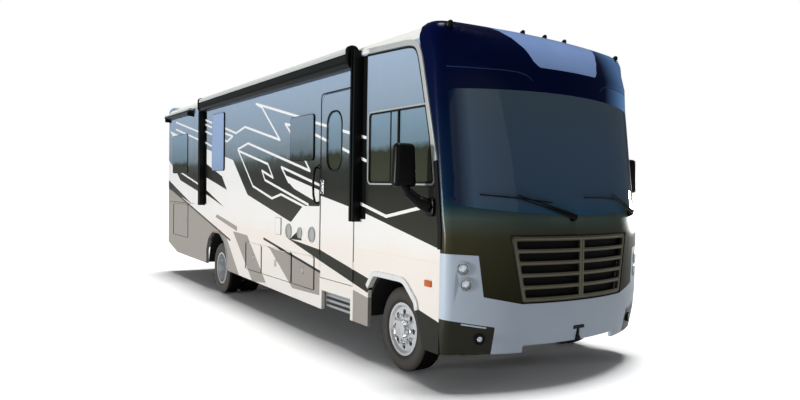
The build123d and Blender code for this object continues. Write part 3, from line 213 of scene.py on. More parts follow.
# Livery on both sides, as X from the front axle and height in metres
livery = {
    # Upper body fades from olive bronze to silver blue, broken at the middle by a ragged tree line: a painted
    # reflection of the trees and sky in the gloss paint
    "skyTreeReflectionFade": [(1.20, "#34352b"), (1.75, "#24261f"), (1.98, "#2a2d29"), (2.13, "#444c48"),
                 (2.21, "#72818a"), (2.48, "#899baa"), (3.20, "#9fb3ca")],
    "treeReflectionDepth": 0.22,
    "white": [(0.50, "#ece9e3"), (0.95, "#f0eae2"), (1.25, "#f3ece4"), (1.45, "#f4f2ee"), (2.40, "#f2f3f3")],
    # band: tone of the painted arm reflections and of the dark patch behind the middle vent
    "grey": ("#a9a39a", "#97918a"), "dark": "#26271e", "band": "#0c0e0d", "black": "#1b1c19",
    # Edge between the dark upper body and the white band
    "whiteTop": [(-9.30, 2.04), (-6.62, 1.62), (-6.56, 2.43), (-5.00, 2.19), (-4.30, 1.66), (-2.62, 1.34),
                 (-2.24, 1.56), (-1.79, 1.57), (-1.74, 1.70), (-0.70, 1.55), (0.79, 1.27), (0.92, 1.24),
                 (1.50, 1.24)],
    # Corners of the dark, grey and white patches, in order round each
    "darkPatches": [
        [(-6.50, 2.17), (-5.56, 1.94), (-5.29, 1.72), (-6.50, 1.93)],
        [(-6.50, 1.72), (-5.42, 1.44), (-6.50, 1.64)],
        [(-2.75, 1.13), (-1.72, 1.06), (-0.45, 0.85), (-0.53, 0.71), (-1.72, 0.93)],
        [(0.40, 0.70), (0.82, 0.62), (0.82, 0.25), (0.40, 0.25)],
        [(-9.30, 1.91), (-7.40, 1.44), (-9.30, 1.72)],
    ],
    "whitePatches": [
        [(-2.81, 1.94), (-1.76, 1.76), (-1.75, 1.60), (-2.53, 1.77), (-2.69, 1.84)],
        [(-9.30, 2.34), (-8.47, 2.00), (-8.16, 1.83), (-9.30, 1.93)],
        [(-9.10, 2.88), (-8.13, 2.71), (-8.82, 2.74)],
    ],
    # Dark bands beside the awning arms, a painted reflection of the black arms in the gloss paint, and a dark
    # patch behind the middle vent; on the kerb side only
    "armReflectionsAndVentPatch": [
        [(-0.74, 3.17), (-0.60, 3.17), (-0.60, 1.47), (-0.74, 1.47)],
        [(-6.56, 3.06), (-6.44, 3.06), (-6.44, 1.46), (-6.56, 1.46)],
        [(-2.66, 1.12), (-2.34, 1.26), (-2.26, 1.13)],
    ],
    "greyPatches": [
        [(-9.30, 1.74), (-5.30, 0.97), (-4.45, 0.25), (-9.30, 0.25)],
        [(-4.97, 1.08), (-4.30, 1.06), (-3.50, 0.45), (-4.05, 0.40)],
        [(-5.82, 1.31), (-4.77, 1.165), (-4.77, 1.09), (-5.90, 1.26)],
        [(-3.42, 0.97), (-2.60, 0.92), (-1.72, 0.79), (-1.72, 0.52), (-2.55, 0.50)],
        [(-0.86, 0.70), (-0.52, 0.66), (-0.52, 0.30), (-0.86, 0.30)],
    ],
    "stripeWidth": 0.032,
    "whiteStripes": [
        [(-5.42, 2.71), (-4.86, 2.60), (-4.44, 2.67), (-3.03, 2.41), (-3.73, 2.90), (-3.97, 2.97),
         (-2.30, 2.65)],
        [(-2.60, 2.44), (-2.85, 2.61), (-2.60, 2.57)],
        [(-4.76, 2.35), (-4.30, 2.42), (-2.04, 1.99), (-2.19, 2.12)],
        [(-4.76, 2.34), (-4.07, 1.79), (-3.30, 1.63), (-2.97, 1.69), (-2.18, 1.55)],
        [(-4.71, 2.32), (-3.47, 2.10), (-3.27, 1.91), (-3.70, 2.01), (-3.58, 1.88), (-2.08, 1.58)],
        [(-1.76, 1.82), (-2.97, 2.05), (-2.71, 1.85)],
        [(-1.94, 2.57), (-0.62, 2.32)],
        [(-1.94, 2.43), (-0.61, 2.08)],
        [(-0.71, 1.63), (-0.17, 1.52), (0.48, 1.63)],
        [(-8.60, 3.02), (-6.60, 2.68)],
        [(-8.60, 2.88), (-6.60, 2.54)],
        [(-6.63, 2.94), (-6.06, 2.83)],
        [(-6.63, 2.86), (-6.06, 2.75)],
        [(-6.62, 2.74), (-6.05, 2.63)],
        [(-6.62, 2.55), (-6.05, 2.43)],
        [(-5.43, 2.52), (-5.44, 2.63), (-5.02, 2.56), (-5.32, 2.49), (-5.43, 2.52)],
        [(-9.20, 2.20), (-6.70, 1.76)],
    ],
    "blackStripes": [
        [(-9.30, 1.76), (-5.11, 0.93)],
        [(-3.60, 1.06), (-1.72, 0.80)],
    ],
}


# Masks for the livery: straight-edged patches and stripes along a line of points
def patchMask(tree, spot, corners):
    middle = Vector((sum(x for x, z in corners), sum(z for x, z in corners))) / len(corners)
    mask = None
    for (startX, startZ), (endX, endZ) in zip(corners, corners[1:] + corners[:1]):
        across = Vector((startZ - endZ, endX - startX)).normalized()
        if across.dot(middle - Vector((startX, startZ))) < 0:
            across = -across
        offset = across.dot(Vector((startX, startZ)))
        edge = vectorCalc(tree, "DOT_PRODUCT", "Value", spot, (across.x, across.y, -offset))
        mask = calc(tree, "MINIMUM", mask, edge) if mask else edge
    return calc(tree, "GREATER_THAN", mask, 0.0)


def stripeMask(tree, spot, points):
    near = None
    for (startX, startZ), (endX, endZ) in zip(points, points[1:]):
        length = math.hypot(endX - startX, endZ - startZ)
        along = ((endX - startX) / length, (endZ - startZ) / length, 0.0)
        off = vectorCalc(tree, "SUBTRACT", "Vector", spot, (startX, startZ, 1.0))
        run = vectorCalc(tree, "DOT_PRODUCT", "Value", off, along)
        held = addNode(tree, "Clamp", {"Value": run, "Max": length}).outputs[0]
        foot = addNode(tree, "VectorMath", {0: along, "Scale": held}, operation="SCALE").outputs["Vector"]
        gap = vectorCalc(tree, "DISTANCE", "Value", off, foot)
        near = calc(tree, "MINIMUM", near, gap) if near else gap
    return calc(tree, "LESS_THAN", near, livery["stripeWidth"] / 2)


# Value read from a line of points, both axes brought to 0..1 for the curve
def lineValue(tree, along, points, reach):
    start, end = points[0][0], points[-1][0]
    curve = addNode(tree, "FloatCurve", {"Value": shareOf(tree, along, start, end)})
    line = curve.mapping.curves[0]
    while len(line.points) < len(points):
        line.points.new(0.5, 0.5)
    for knot, (x, value) in zip(line.points, points):
        knot.location = ((x - start) / (end - start), value / reach)
        knot.handle_type = "VECTOR"
    curve.mapping.update()
    return calc(tree, "MULTIPLY", curve.outputs["Value"], reach)


# Colour read from a list of heights and tones
def fadeByHeight(tree, height, stops):
    low, high = stops[0][0], stops[-1][0]
    ramp = addNode(tree, "ValToRGB", {"Fac": shareOf(tree, height, low, high)})
    while len(ramp.color_ramp.elements) < len(stops):
        ramp.color_ramp.elements.new(0.5)
    for knot, (z, colour) in zip(ramp.color_ramp.elements, stops):
        knot.position = (z - low) / (high - low)
        knot.color = toLinear(colour)
    return ramp.outputs["Color"]


# Height broken up like a line of trees, for the painted reflections of trees
def raggedHeight(tree, place, height, amount, scale, detail):
    lift = calc(tree, "SUBTRACT", noise(tree, place, scale, detail, 0.7), 0.5)
    return calc(tree, "MULTIPLY_ADD", lift, amount, height)


# Outputs for the three coordinates
def splitPlace(tree, place):
    return addNode(tree, "SeparateXYZ", {"Vector": place}).outputs


# Full-body paint under clear coat: fine flake in the grey, gloss on top; the upper body's fade is a painted
# reflection of trees and sky, and the bands beside the awning arms a painted reflection of the arms
def makeLivery():
    gloss = {"Coat Weight": 0.10, "Coat Roughness": 0.03, "Roughness": 0.3, "Specular IOR Level": 0.15}
    tree, shader, place = newFinish("clearCoatedPaint", gloss)
    split = splitPlace(tree, place)
    height = split["Z"]
    across = calc(tree, "SUBTRACT", split["X"], frontAxleX)
    spot = addNode(tree, "CombineXYZ", {"X": across, "Y": height, "Z": 1.0}).outputs["Vector"]
    soft = calc(tree, "MULTIPLY_ADD", noise(tree, place, 2.2, 3.0), 0.25, height)
    white = fadeByHeight(tree, soft, livery["white"])
    grey = paintOver(tree, livery["grey"][0], noise(tree, place, 900.0), livery["grey"][1])
    # Upper body: painted reflection of sky above a ragged line of trees
    ragged = raggedHeight(tree, place, height, livery["treeReflectionDepth"], 7.0, 7.0)
    dark = fadeByHeight(tree, ragged, livery["skyTreeReflectionFade"])
    below = calc(tree, "LESS_THAN", height, lineValue(tree, across, livery["whiteTop"], 3.5))
    kerb = calc(tree, "LESS_THAN", split["Y"], 0.0)
    colour = paintOver(tree, dark, below, white)
    layers = [(patchMask, "greyPatches", grey), (patchMask, "darkPatches", livery["dark"]),
              (patchMask, "whitePatches", white), (patchMask, "armReflectionsAndVentPatch", livery["band"]),
              (stripeMask, "blackStripes", livery["black"]), (stripeMask, "whiteStripes", white)]
    for shape, layer, paint in layers:
        for points in livery[layer]:
            mask = shape(tree, spot, points)
            # Painted arm reflections and the vent patch: kerb side only
            if layer == "armReflectionsAndVentPatch":
                mask = calc(tree, "MULTIPLY", mask, kerb)
            colour = paintOver(tree, colour, mask, paint)
    tree.links.new(colour, shader.inputs["Base Color"])


makeLivery()

# Paint of the front: olive bronze fading upwards to midnight blue, the blue a painted reflection of the sky
# in the gloss, with a pale panel in the brow
nosePaint = {
    "fade": [(0.80, "#2c2b1a"), (1.38, "#42412e"), (1.55, "#4c5a54"), (1.66, "#173845"), (1.74, "#0f2840"),
             (2.60, "#061234"), (3.35, "#030930")],
    # Panel: lower edge, half width by height, colours
    "panelLow": 2.945,
    "panelHalf": [(2.93, 0.33), (2.96, 0.39), (3.00, 0.425), (3.06, 0.45), (3.14, 0.50), (3.22, 0.565),
                  (3.30, 0.645), (3.37, 0.73)],
    "panel": ("#83a4dc", "#98b2e4"),
    # Painted reflection of the sky on the far corner: sideways from, to, and its strength by height
    "glow": "#7fb8ff", "skyReflectionFrom": 0.56, "skyReflectionTo": 1.10,
    "skyReflectionRise": [(2.50, 0.0), (2.64, 0.90), (2.87, 0.95), (2.91, 0.62), (3.20, 0.64), (3.37, 0.72)],
    # Painted highlight along the moulded seam: height by distance from the middle
    "seam": "#2c4069", "seamHalf": 0.004, "seamFrom": 0.45, "seamTo": 1.20,
    "seamLine": [(0.43, 2.790), (0.47, 2.830), (0.52, 2.862), (0.60, 2.880), (0.72, 2.886), (1.25, 2.890)],
}


def makeNosePaint():
    tree, shader, place = newFinish("noseClearCoat", {"Roughness": 0.22, "Specular IOR Level": 0.05})
    split = splitPlace(tree, place)
    height = split["Z"]
    out = calc(tree, "ABSOLUTE", split["Y"])
    # Olive bronze fading upwards to a painted reflection of the sky
    colour = fadeByHeight(tree, height, nosePaint["fade"])
    # Painted reflection of the sky on the far corner
    glow = shareOf(tree, split["Y"], nosePaint["skyReflectionFrom"], nosePaint["skyReflectionTo"])
    skyReflectionMask = calc(tree, "MULTIPLY", glow, lineValue(tree, height, nosePaint["skyReflectionRise"], 1.0))
    colour = paintOver(tree, colour, skyReflectionMask, nosePaint["glow"])
    inside = calc(tree, "LESS_THAN", out, lineValue(tree, height, nosePaint["panelHalf"], 1.0))
    above = calc(tree, "GREATER_THAN", height, nosePaint["panelLow"])
    panel = paintOver(tree, nosePaint["panel"][0], noise(tree, place, 3.0), nosePaint["panel"][1])
    colour = paintOver(tree, colour, calc(tree, "MULTIPLY", inside, above), panel)
    # Painted highlight line along the moulded seam
    level = lineValue(tree, out, nosePaint["seamLine"], 3.5)
    seam = calc(tree, "COMPARE", height, level, nosePaint["seamHalf"])
    past = calc(tree, "GREATER_THAN", out, nosePaint["seamFrom"])
    short = calc(tree, "LESS_THAN", out, nosePaint["seamTo"])
    line = calc(tree, "MULTIPLY", seam, calc(tree, "MULTIPLY", past, short))
    colour = paintOver(tree, colour, line, nosePaint["seam"])
    tree.links.new(colour, shader.inputs["Base Color"])


makeNosePaint()

# Bumper and lamp pods: white paint, with dark lower corners and a white line along their top that is a
# painted highlight
bumperPaint = {
    "white": ("#c9d6e4", "#bccada"), "corner": "#27261a", "cornerHalf": 0.88, "cornerTop": 0.59,
    "rise": 0.18, "highlightDrop": -0.016, "highlightHalf": 0.007, "highlightMiddle": 1.05, "highlightReach": 0.10,
}


def makeBumperPaint():
    gloss = {"Coat Weight": 0.15, "Coat Roughness": 0.05, "Specular IOR Level": 0.2}
    tree, shader, place = newFinish("bumperClearCoat", gloss)
    white = addGrain(tree, shader, place, bumperPaint["white"], 400, (0.30, 0.40))
    split = splitPlace(tree, place)
    out = calc(tree, "ABSOLUTE", split["Y"])
    outside = calc(tree, "SUBTRACT", out, bumperPaint["cornerHalf"])
    top = calc(tree, "MULTIPLY_ADD", outside, bumperPaint["rise"], bumperPaint["cornerTop"])
    low = calc(tree, "LESS_THAN", split["Z"], top)
    wide = calc(tree, "GREATER_THAN", outside, 0.0)
    colour = paintOver(tree, white, calc(tree, "MULTIPLY", low, wide), bumperPaint["corner"])
    # Painted highlight: thin white line just below the top of each dark corner
    slot = calc(tree, "SUBTRACT", split["Z"], top)
    slotHighlight = calc(tree, "COMPARE", slot, bumperPaint["highlightDrop"], bumperPaint["highlightHalf"])
    reach = calc(tree, "COMPARE", out, bumperPaint["highlightMiddle"], bumperPaint["highlightReach"])
    colour = paintOver(tree, colour, calc(tree, "MULTIPLY", slotHighlight, reach), bumperPaint["white"][0])
    tree.links.new(colour, shader.inputs["Base Color"])


makeBumperPaint()

# Safety glass: tones by height, on the side and house glass a painted reflection of sky and trees, share let
# through, depth of the reflected tree line, shine, dark edge from, to and tone
glassSpec = {
    # Laminated windscreen, tinted blue, darker at its sides
    "windscreenGlass": ([(1.55, "#2c5f7e"), (1.72, "#425a72"), (2.20, "#485d75"), (2.75, "#4f616e")],
                        0.12, 0.0, 0.12, (1.04, 1.15, "#0d2340")),
    # Tinted cab and door glass with a painted reflection of trees below the sky
    "sideGlass": ([(1.80, "#45483a"), (2.17, "#3a3e31"), (2.24, "#748c9a"), (2.58, "#88a3b6"),
                   (3.00, "#9db4d2")], 0.08, 0.10, 0.20, None),
    # Tinted house glass with a painted reflection of the sky alone
    "skyGlass": ([(2.00, "#93aacd"), (2.30, "#9db5da"), (3.00, "#a3b9dc")], 0.05, 0.0, 0.20, None),
    # Tinted house glass with a painted reflection of trees and sky
    "treeGlass": ([(2.05, "#2c302a"), (2.16, "#3a413c"), (2.24, "#64747d"), (2.45, "#7d8f9c"),
                   (2.70, "#879aab")], 0.05, 0.16, 0.20, None),
    # Clear polycarbonate of the lamps
    "lampLens": ([(0.3, "#c9d1d9"), (1.3, "#d3dae1")], 0.85, 0.0, 0.3, None),
}
for finishName, (stops, clear, ragged, shine, edge) in glassSpec.items():
    gloss = {"Roughness": 0.03, "IOR": 1.5, "Transmission Weight": clear, "Specular IOR Level": shine}
    tree, shader, place = newFinish(finishName, gloss)
    split = splitPlace(tree, place)
    height = raggedHeight(tree, place, split["Z"], ragged, 8.0, 6.0) if ragged else split["Z"]
    colour = fadeByHeight(tree, height, stops)
    if edge:
        band = shareOf(tree, calc(tree, "ABSOLUTE", split["Y"]), edge[0], edge[1])
        colour = paintOver(tree, colour, band, edge[2])
    tree.links.new(colour, shader.inputs["Base Color"])

# Powder-coated rolls, black with a bright weather strip on top, and on the awning roll a lighter band between
# two dark groove lines, a painted highlight: tones by height, rear and front of the roll
rollSpec = {
    "awningRoll": ([(3.05, "#0a0c0c"), (3.105, "#0f1212"), (3.108, "#030303"), (3.118, "#030303"),
                    (3.121, "#191d1e"), (3.185, "#1c2122"), (3.188, "#050505"), (3.200, "#050505"),
                    (3.204, "#b9bdbb"), (3.290, "#dfe1de")], -6.497, -0.864),
    "topperRoll": ([(3.08, "#0b0d0d"), (3.140, "#15191a"), (3.146, "#b4b8b7"), (3.200, "#d5d8d6")],
                   -9.30, -7.0),
}
for finishName, (stops, rear, front) in rollSpec.items():
    tree, shader, place = newFinish(finishName, {"Roughness": 0.35, "Specular IOR Level": 0.15})
    split = splitPlace(tree, place)
    inside = calc(tree, "COMPARE", split["X"], frontAxleX + (rear + front) / 2, (front - rear) / 2)
    caps = paintOver(tree, "#060707", noise(tree, place, 300.0), "#0d0f0f")
    colour = paintOver(tree, caps, inside, fadeByHeight(tree, split["Z"], stops))
    tree.links.new(colour, shader.inputs["Base Color"])

# Tyre rubber: dull black, dusty on the outer sidewall; distances from the coach's middle
rubberSpec = {
    "colours": ("#0f0f0f", "#1c1b1a"), "dust": "#7d7871", "dustFrom": 1.135, "dustTo": 1.20, "dustMost": 0.40,
}
tree, shader, place = newFinish("tyreRubber", {"Specular IOR Level": 0.2})
black = addGrain(tree, shader, place, rubberSpec["colours"], 35, (0.70, 0.88), 0.3)
out = calc(tree, "ABSOLUTE", splitPlace(tree, place)["Y"])
dust = shareOf(tree, out, rubberSpec["dustFrom"], rubberSpec["dustTo"], rubberSpec["dustMost"])
tree.links.new(paintOver(tree, black, dust, rubberSpec["dust"]), shader.inputs["Base Color"])

# Finish of each CAD node
nodeFinishes = {
    "clearCoatedPaint": ["wall_right", "wall_left", "skirt_right", "skirt_left", "rear_cap", "entry_door",
                         "slide_out", "bay_door_rear_right", "bay_door_mid_right", "bay_door_centre_right",
                         "bay_door_fore_right", "bay_door_rear_left", "bay_door_mid_left",
                         "bay_door_fore_left"],
    "noseClearCoat": ["front_cap"], "bumperClearCoat": ["front_bumper"], "windscreenGlass": ["windshield"],
    "sideGlass": ["side_glass", "entry_door_glass", "slide_out_glass"], "roofMembrane": ["roof"],
    "bronzeAnodised": ["grille"], "lampLens": ["headlamps"], "redLens": ["tail_lamps"],
    "blackPlastic": ["marker_lamps", "mirrors", "wipers", "grab_handle", "steering_wheel"],
    "awningRoll": ["awning"], "topperRoll": ["slide_topper"], "brushedAluminium": ["entry_step"],
    "chassisEnamel": ["chassis_frame", "hitch", "front_axle", "rear_axle", "knuckle_right", "knuckle_left"],
    "castIron": ["engine", "drive_shaft"], "springSteel": ["leaf_springs"], "tankPlastic": ["fuel_tank"],
    "aluminisedSteel": ["exhaust"], "galvanisedSheet": ["baggage_bays", "step_well"],
    "linerPlastic": ["wheel_wells"], "floorPly": ["floor"], "dashSkin": ["dashboard"], "seatVinyl": ["seats"],
    "polishedAluminium": ["wheel_front_right", "wheel_front_left", "wheel_rear_right", "wheel_rear_left"],
    "tyreRubber": ["tyre_front_right", "tyre_front_left", "tyre_rear_right", "tyre_rear_left"],
}
for finishName, nodeNames in nodeFinishes.items():
    for nodeName in nodeNames:
        nodes[nodeName].data.materials.clear()
        nodes[nodeName].data.materials.append(finishes[finishName])
print("finishes ready:", len(finishes))


# Mesh from a bmesh, which is then let go
def meshFrom(bm, name):
    mesh = bpy.data.meshes.new(name)
    bm.to_mesh(mesh)
    bm.free()
    return mesh


# Object linked into the scene
def addObject(name, data):
    thing = bpy.data.objects.new(name, data)
    bpy.context.scene.collection.objects.link(thing)
    return thing


# New piece from a bmesh, shaded smooth but for its sharp edges, riding on a body
def finishPiece(name, bm, finish, body, sharp=35.0):
    bmesh.ops.recalc_face_normals(bm, faces=bm.faces)
    mesh = meshFrom(bm, name)
    for coat in finish.split():
        mesh.materials.append(finishes[coat])
    mesh.shade_smooth()
    mesh.set_sharp_from_angle(angle=math.radians(sharp))
    piece = addObject(name, mesh)
    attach(piece, body)
    return piece


# Points that coincide become one
def weld(bm, gap=0.0001):
    bmesh.ops.remove_doubles(bm, verts=bm.verts, dist=gap)


# Edges, or the corners of a face, rounded off
def roundOff(bm, geom, offset, segments, affect="EDGES"):
    bmesh.ops.bevel(bm, geom=geom, offset=offset, affect=affect, segments=segments, profile=0.5, material=-1)


# Flat face with rounded corners from its corner points
def outlineFace(bm, corners, radius=0.0):
    before = set(bm.faces)
    points = [bm.verts.new(corner) for corner in corners]
    bm.faces.new(points)
    if radius:
        roundOff(bm, points, radius, 6, "VERTICES")
    return [face for face in bm.faces if face not in before]


# Faces pushed out; gives back the moved ones
def pushOut(bm, faces, out):
    made = bmesh.ops.extrude_face_region(bm, geom=faces)["geom"]
    bmesh.ops.translate(bm, verts=[item for item in made if isinstance(item, bmesh.types.BMVert)], vec=out)
    return [item for item in made if isinstance(item, bmesh.types.BMFace)]


# Band inside the rim of some faces
def insetBand(bm, faces, width):
    made = bmesh.ops.inset_region(bm, faces=faces, thickness=width, use_even_offset=True, use_boundary=True)
    return made["faces"]


# Faces pushed out to a plate with softened edges
def raisePlate(bm, faces, out, soften=0.0):
    top = pushOut(bm, faces, out)
    if soften:
        edges = {edge for face in top for edge in face.edges}
        rim = [edge for edge in edges if sum(face in top for face in edge.link_faces) == 1]
        roundOff(bm, rim, soften, 2)


# On a wall: plate with rounded corners, and raised frame round an opening
def wallPlate(bm, corners, radius, side, proud, soften):
    raisePlate(bm, outlineFace(bm, corners, radius), Vector((0.0, side * proud, 0.0)), soften)


def ringFrame(bm, corners, radius, width, side, proud, soften=0.002):
    face = outlineFace(bm, corners, radius)
    ring = insetBand(bm, face, width)
    bmesh.ops.delete(bm, geom=face, context="FACES")
    raisePlate(bm, ring, Vector((0.0, side * proud, 0.0)), soften)


# Corners of an upright rectangle on a wall, anticlockwise as seen from outside on the right
def wallCorners(rear, front, low, high, side, out=0.0):
    return [onWall(x, z, side, out) for x, z in ((rear, low), (front, low), (front, high), (rear, high))]


# The same about a middle, and round a window whose heights count from the eave
def cornersAbout(x, z, half, side, out=0.0):
    return wallCorners(x - half[0], x + half[0], z - half[1], z + half[1], side, out)


def windowCorners(box, lap, side):
    rear, front, low, high = box
    return wallCorners(rear - lap, front + lap, eaveZ + low - lap, eaveZ + high + lap, side)


# Pull latch: frame (half sizes, corner radius, width, proud, soften) and the pad inside it
def addLatch(bm, x, z, side, spec):
    half, radius, width, proud, soften = spec["frame"]
    ringFrame(bm, cornersAbout(x, z, half, side), radius, width, side, proud, soften)
    wallPlate(bm, cornersAbout(x, z, spec["padHalf"], side, spec["padOut"]), 0.008, side, 0.012, 0.004)


# Line of points with its inner corners rounded
def roundPath(points, radius, steps=8):
    path = [points[0]]
    for before, corner, after in zip(points, points[1:], points[2:]):
        reach = min(radius, (before - corner).length / 2.1, (after - corner).length / 2.1)
        start = corner + (before - corner).normalized() * reach
        end = corner + (after - corner).normalized() * reach
        path += interpolate_bezier(start, corner, corner, end, steps)
    return path + [points[-1]]


# Run of a path at each of its points
def runsAlong(path):
    return [after - before for before, after in zip(path[:1] + path, path[1:] + path[-1:])]


# Flat moulding on a wall along a path: from one edge to the other across the path, then raised
def wallMoulding(bm, path, inner, outer, side, proud, soften=0.003):
    pairs = []
    for point, run in zip(path, runsAlong(path)):
        ahead = run.normalized()
        across = Vector((-ahead.z, 0.0, ahead.x))
        pairs.append((bm.verts.new(point + across * inner), bm.verts.new(point + across * outer)))
    faces = [bm.faces.new((a[0], a[1], b[1], b[0])) for a, b in zip(pairs, pairs[1:])]
    raisePlate(bm, faces, Vector((0.0, side * proud, 0.0)), soften)


# Round bar along a path, of one radius or of one for each point
def tube(bm, path, radius, sides=10):
    radii = radius if isinstance(radius, list) else [radius] * len(path)
    loops = []
    for number, (point, run) in enumerate(zip(path, runsAlong(path))):
        stand = Matrix.Translation(point) @ run.to_track_quat("Z", "Y").to_matrix().to_4x4()
        ends = number in (0, len(path) - 1)
        made = bmesh.ops.create_circle(bm, cap_ends=ends, segments=sides, radius=radii[number], matrix=stand)
        loops.append(list({edge for vert in made["verts"] for edge in vert.link_edges}))
    for first, second in zip(loops, loops[1:]):
        bmesh.ops.bridge_loops(bm, edges=first + second)


# Round form turned about an axis from a profile of distance along the axis and radius
def turned(bm, profile, centre, axis, steps=48):
    axis = Vector(axis).normalized()
    out = axis.orthogonal().normalized()
    points = [bm.verts.new(Vector(centre) + axis * along + out * radius) for along, radius in profile]
    lines = [bm.edges.new(pair) for pair in zip(points, points[1:])]
    bmesh.ops.spin(bm, geom=points + lines, cent=centre, axis=axis, angle=math.tau, steps=steps,
                   use_merge=True)


# Pane that stands proud of a wall: glass face, thin dark rim and dark sides (second finish)
def raisedPane(bm, corners, radius, side, proud, rim):
    glass = outlineFace(bm, corners, radius)
    before = set(bm.faces)
    front = pushOut(bm, glass, (0.0, side * proud, 0.0))
    insetBand(bm, front, rim)
    for face in set(bm.faces) - before - set(front):
        face.material_index = 1


# Copy of a CAD node with its triangles joined and shaded smooth, shown in the node's place
def smoothCopy(nodeName, finish):
    bm = bmesh.new()
    bm.from_mesh(nodes[nodeName].data)
    bm.transform(nodes[nodeName].matrix_world)
    weld(bm, 0.0002)
    name = "smooth" + "".join(word.capitalize() for word in nodeName.split("_"))
    piece = finishPiece(name, bm, finish, "coach", 30.0)
    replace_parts(piece, nodeName)


smoothCopy("front_cap", "noseClearCoat")
smoothCopy("front_bumper", "bumperClearCoat")
smoothCopy("windshield", "windscreenGlass")
smoothCopy("rear_cap", "clearCoatedPaint")
print("smooth shells made")

# Tyres: road tread of four grooves and cut shoulder blocks on the CAD tyre's section
# The flank runs from the bead to the tread, as distance from the tyre's middle and radius
tyreSpec = {
    "radius": 0.415, "half": 0.1225, "treadHalf": 0.094, "steps": 112,
    "flank": [(-0.087, 0.2475), (-0.101, 0.2655), (-0.1125, 0.292), (-0.1165, 0.296), (-0.1165, 0.300),
              (-0.1225, 0.332), (-0.1195, 0.362), (-0.1135, 0.385), (-0.098, 0.407), (-0.094, 0.412)],
    "grooveAt": (-0.054, -0.018, 0.018, 0.054), "grooveHalf": 0.005, "grooveFoot": 0.004, "grooveDeep": 0.011,
    "blockEvery": 3, "blockNear": 0.012, "blockEdge": 0.003, "blockDeep": 0.006,
}


def tyreProfile(spec):
    flank, radius = spec["flank"], spec["radius"]
    wide, foot, deep = spec["grooveHalf"], spec["grooveFoot"], radius - spec["grooveDeep"]
    crown = []
    for at in spec["grooveAt"]:
        crown += [(at - wide, radius), (at - foot, deep), (at + foot, deep), (at + wide, radius)]
    return flank + crown + [(-along, out) for along, out in reversed(flank)] + [flank[0]]


def addTyre(bm, centre, spec):
    before = set(bm.faces)
    turned(bm, tyreProfile(spec), centre, (0, 1, 0), spec["steps"])
    weld(bm)
    rib = (spec["treadHalf"] + spec["grooveAt"][-1]) / 2
    blocks = []
    for face in set(bm.faces) - before:
        off = face.calc_center_median() - Vector(centre)
        turn = math.floor(math.atan2(off.z, off.x) / math.tau * spec["steps"])
        if abs(abs(off.y) - rib) < spec["blockNear"] and turn % spec["blockEvery"] == 0:
            blocks.append(face)
    bmesh.ops.recalc_face_normals(bm, faces=bm.faces)
    bmesh.ops.inset_individual(bm, faces=blocks, thickness=spec["blockEdge"], depth=-spec["blockDeep"])


for side in sides:
    bm = bmesh.new()
    addTyre(bm, (frontAxleX, sum(corner.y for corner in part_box("tyre_front_" + side)) / 2, axleZ), tyreSpec)
    piece = finishPiece("frontTyre" + side.capitalize(), bm, "tyreRubber", "front_wheel_" + side, 28)
    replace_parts(piece, "tyre_front_" + side)
    bm = bmesh.new()
    low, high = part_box("tyre_rear_" + side)
    for middle in (low.y + tyreSpec["half"], high.y - tyreSpec["half"]):
        addTyre(bm, (rearAxleX, middle, axleZ), tyreSpec)
    piece = finishPiece("rearTyres" + side.capitalize(), bm, "tyreRubber", "rear_wheels_" + side, 28)
    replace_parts(piece, "tyre_rear_" + side)
print("tyres made")

# Lug nuts with tall covers, on the front and the dished rear discs
nutSpec = {
    "count": 10, "circle": 0.1425, "frontIn": 0.036, "rearIn": 0.143,
    "profile": [(0.0, 0.0), (0.0, 0.024), (0.006, 0.023), (0.008, 0.017), (0.039, 0.015), (0.045, 0.008),
                (0.045, 0.0)],
}
for side, sign in sides.items():
    for end, axleX, body in (("front", frontAxleX, "front_wheel_"), ("rear", rearAxleX, "rear_wheels_")):
        low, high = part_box("tyre_" + end + "_" + side)
        seat = (high.y if sign > 0 else low.y) - sign * nutSpec[end + "In"]
        profile = [(sign * along, radius) for along, radius in nutSpec["profile"]]
        bm = bmesh.new()
        for number in range(nutSpec["count"]):
            angle = math.tau * number / nutSpec["count"]
            ahead, up = nutSpec["circle"] * math.cos(angle), nutSpec["circle"] * math.sin(angle)
            turned(bm, profile, Vector((axleX + ahead, seat, axleZ + up)), (0, 1, 0), 6)
        weld(bm)
        finishPiece(end + "Nuts" + side.capitalize(), bm, "chromePlate", body + side, 25)
print("wheel nuts made")

# House windows, frameless: body, glass, proud, side, then rear X, front X, low and high from the eave
paneSpec = {"lap": 0.020, "corner": 0.05, "rim": 0.007}
housePanes = {
    "housePane0": ("coach", "treeGlass", 0.022, -1, (-2.60, -1.92, -1.045, -0.530)),
    "housePane1": ("coach", "skyGlass", 0.022, -1, (-6.04, -5.43, -1.130, -0.230)),
    "housePane2": ("coach", "treeGlass", 0.022, 1, (-3.40, -1.80, -1.045, -0.530)),
    "housePane3": ("coach", "treeGlass", 0.022, 1, (-5.60, -4.50, -1.045, -0.530)),
    "housePane4": ("coach", "skyGlass", 0.022, 1, (-8.50, -7.60, -1.130, -0.480)),
    "slidePane": ("bedroom_slide", "sideGlass", 0.014, -1, (-8.77, -7.69, -1.150, -0.450)),
}
for name, (body, glass, proud, side, box) in housePanes.items():
    bm = bmesh.new()
    corners = windowCorners(box, paneSpec["lap"], side)
    raisedPane(bm, corners, paneSpec["corner"], side, proud, paneSpec["rim"])
    finishPiece(name, bm, glass + " sealRubber", body)

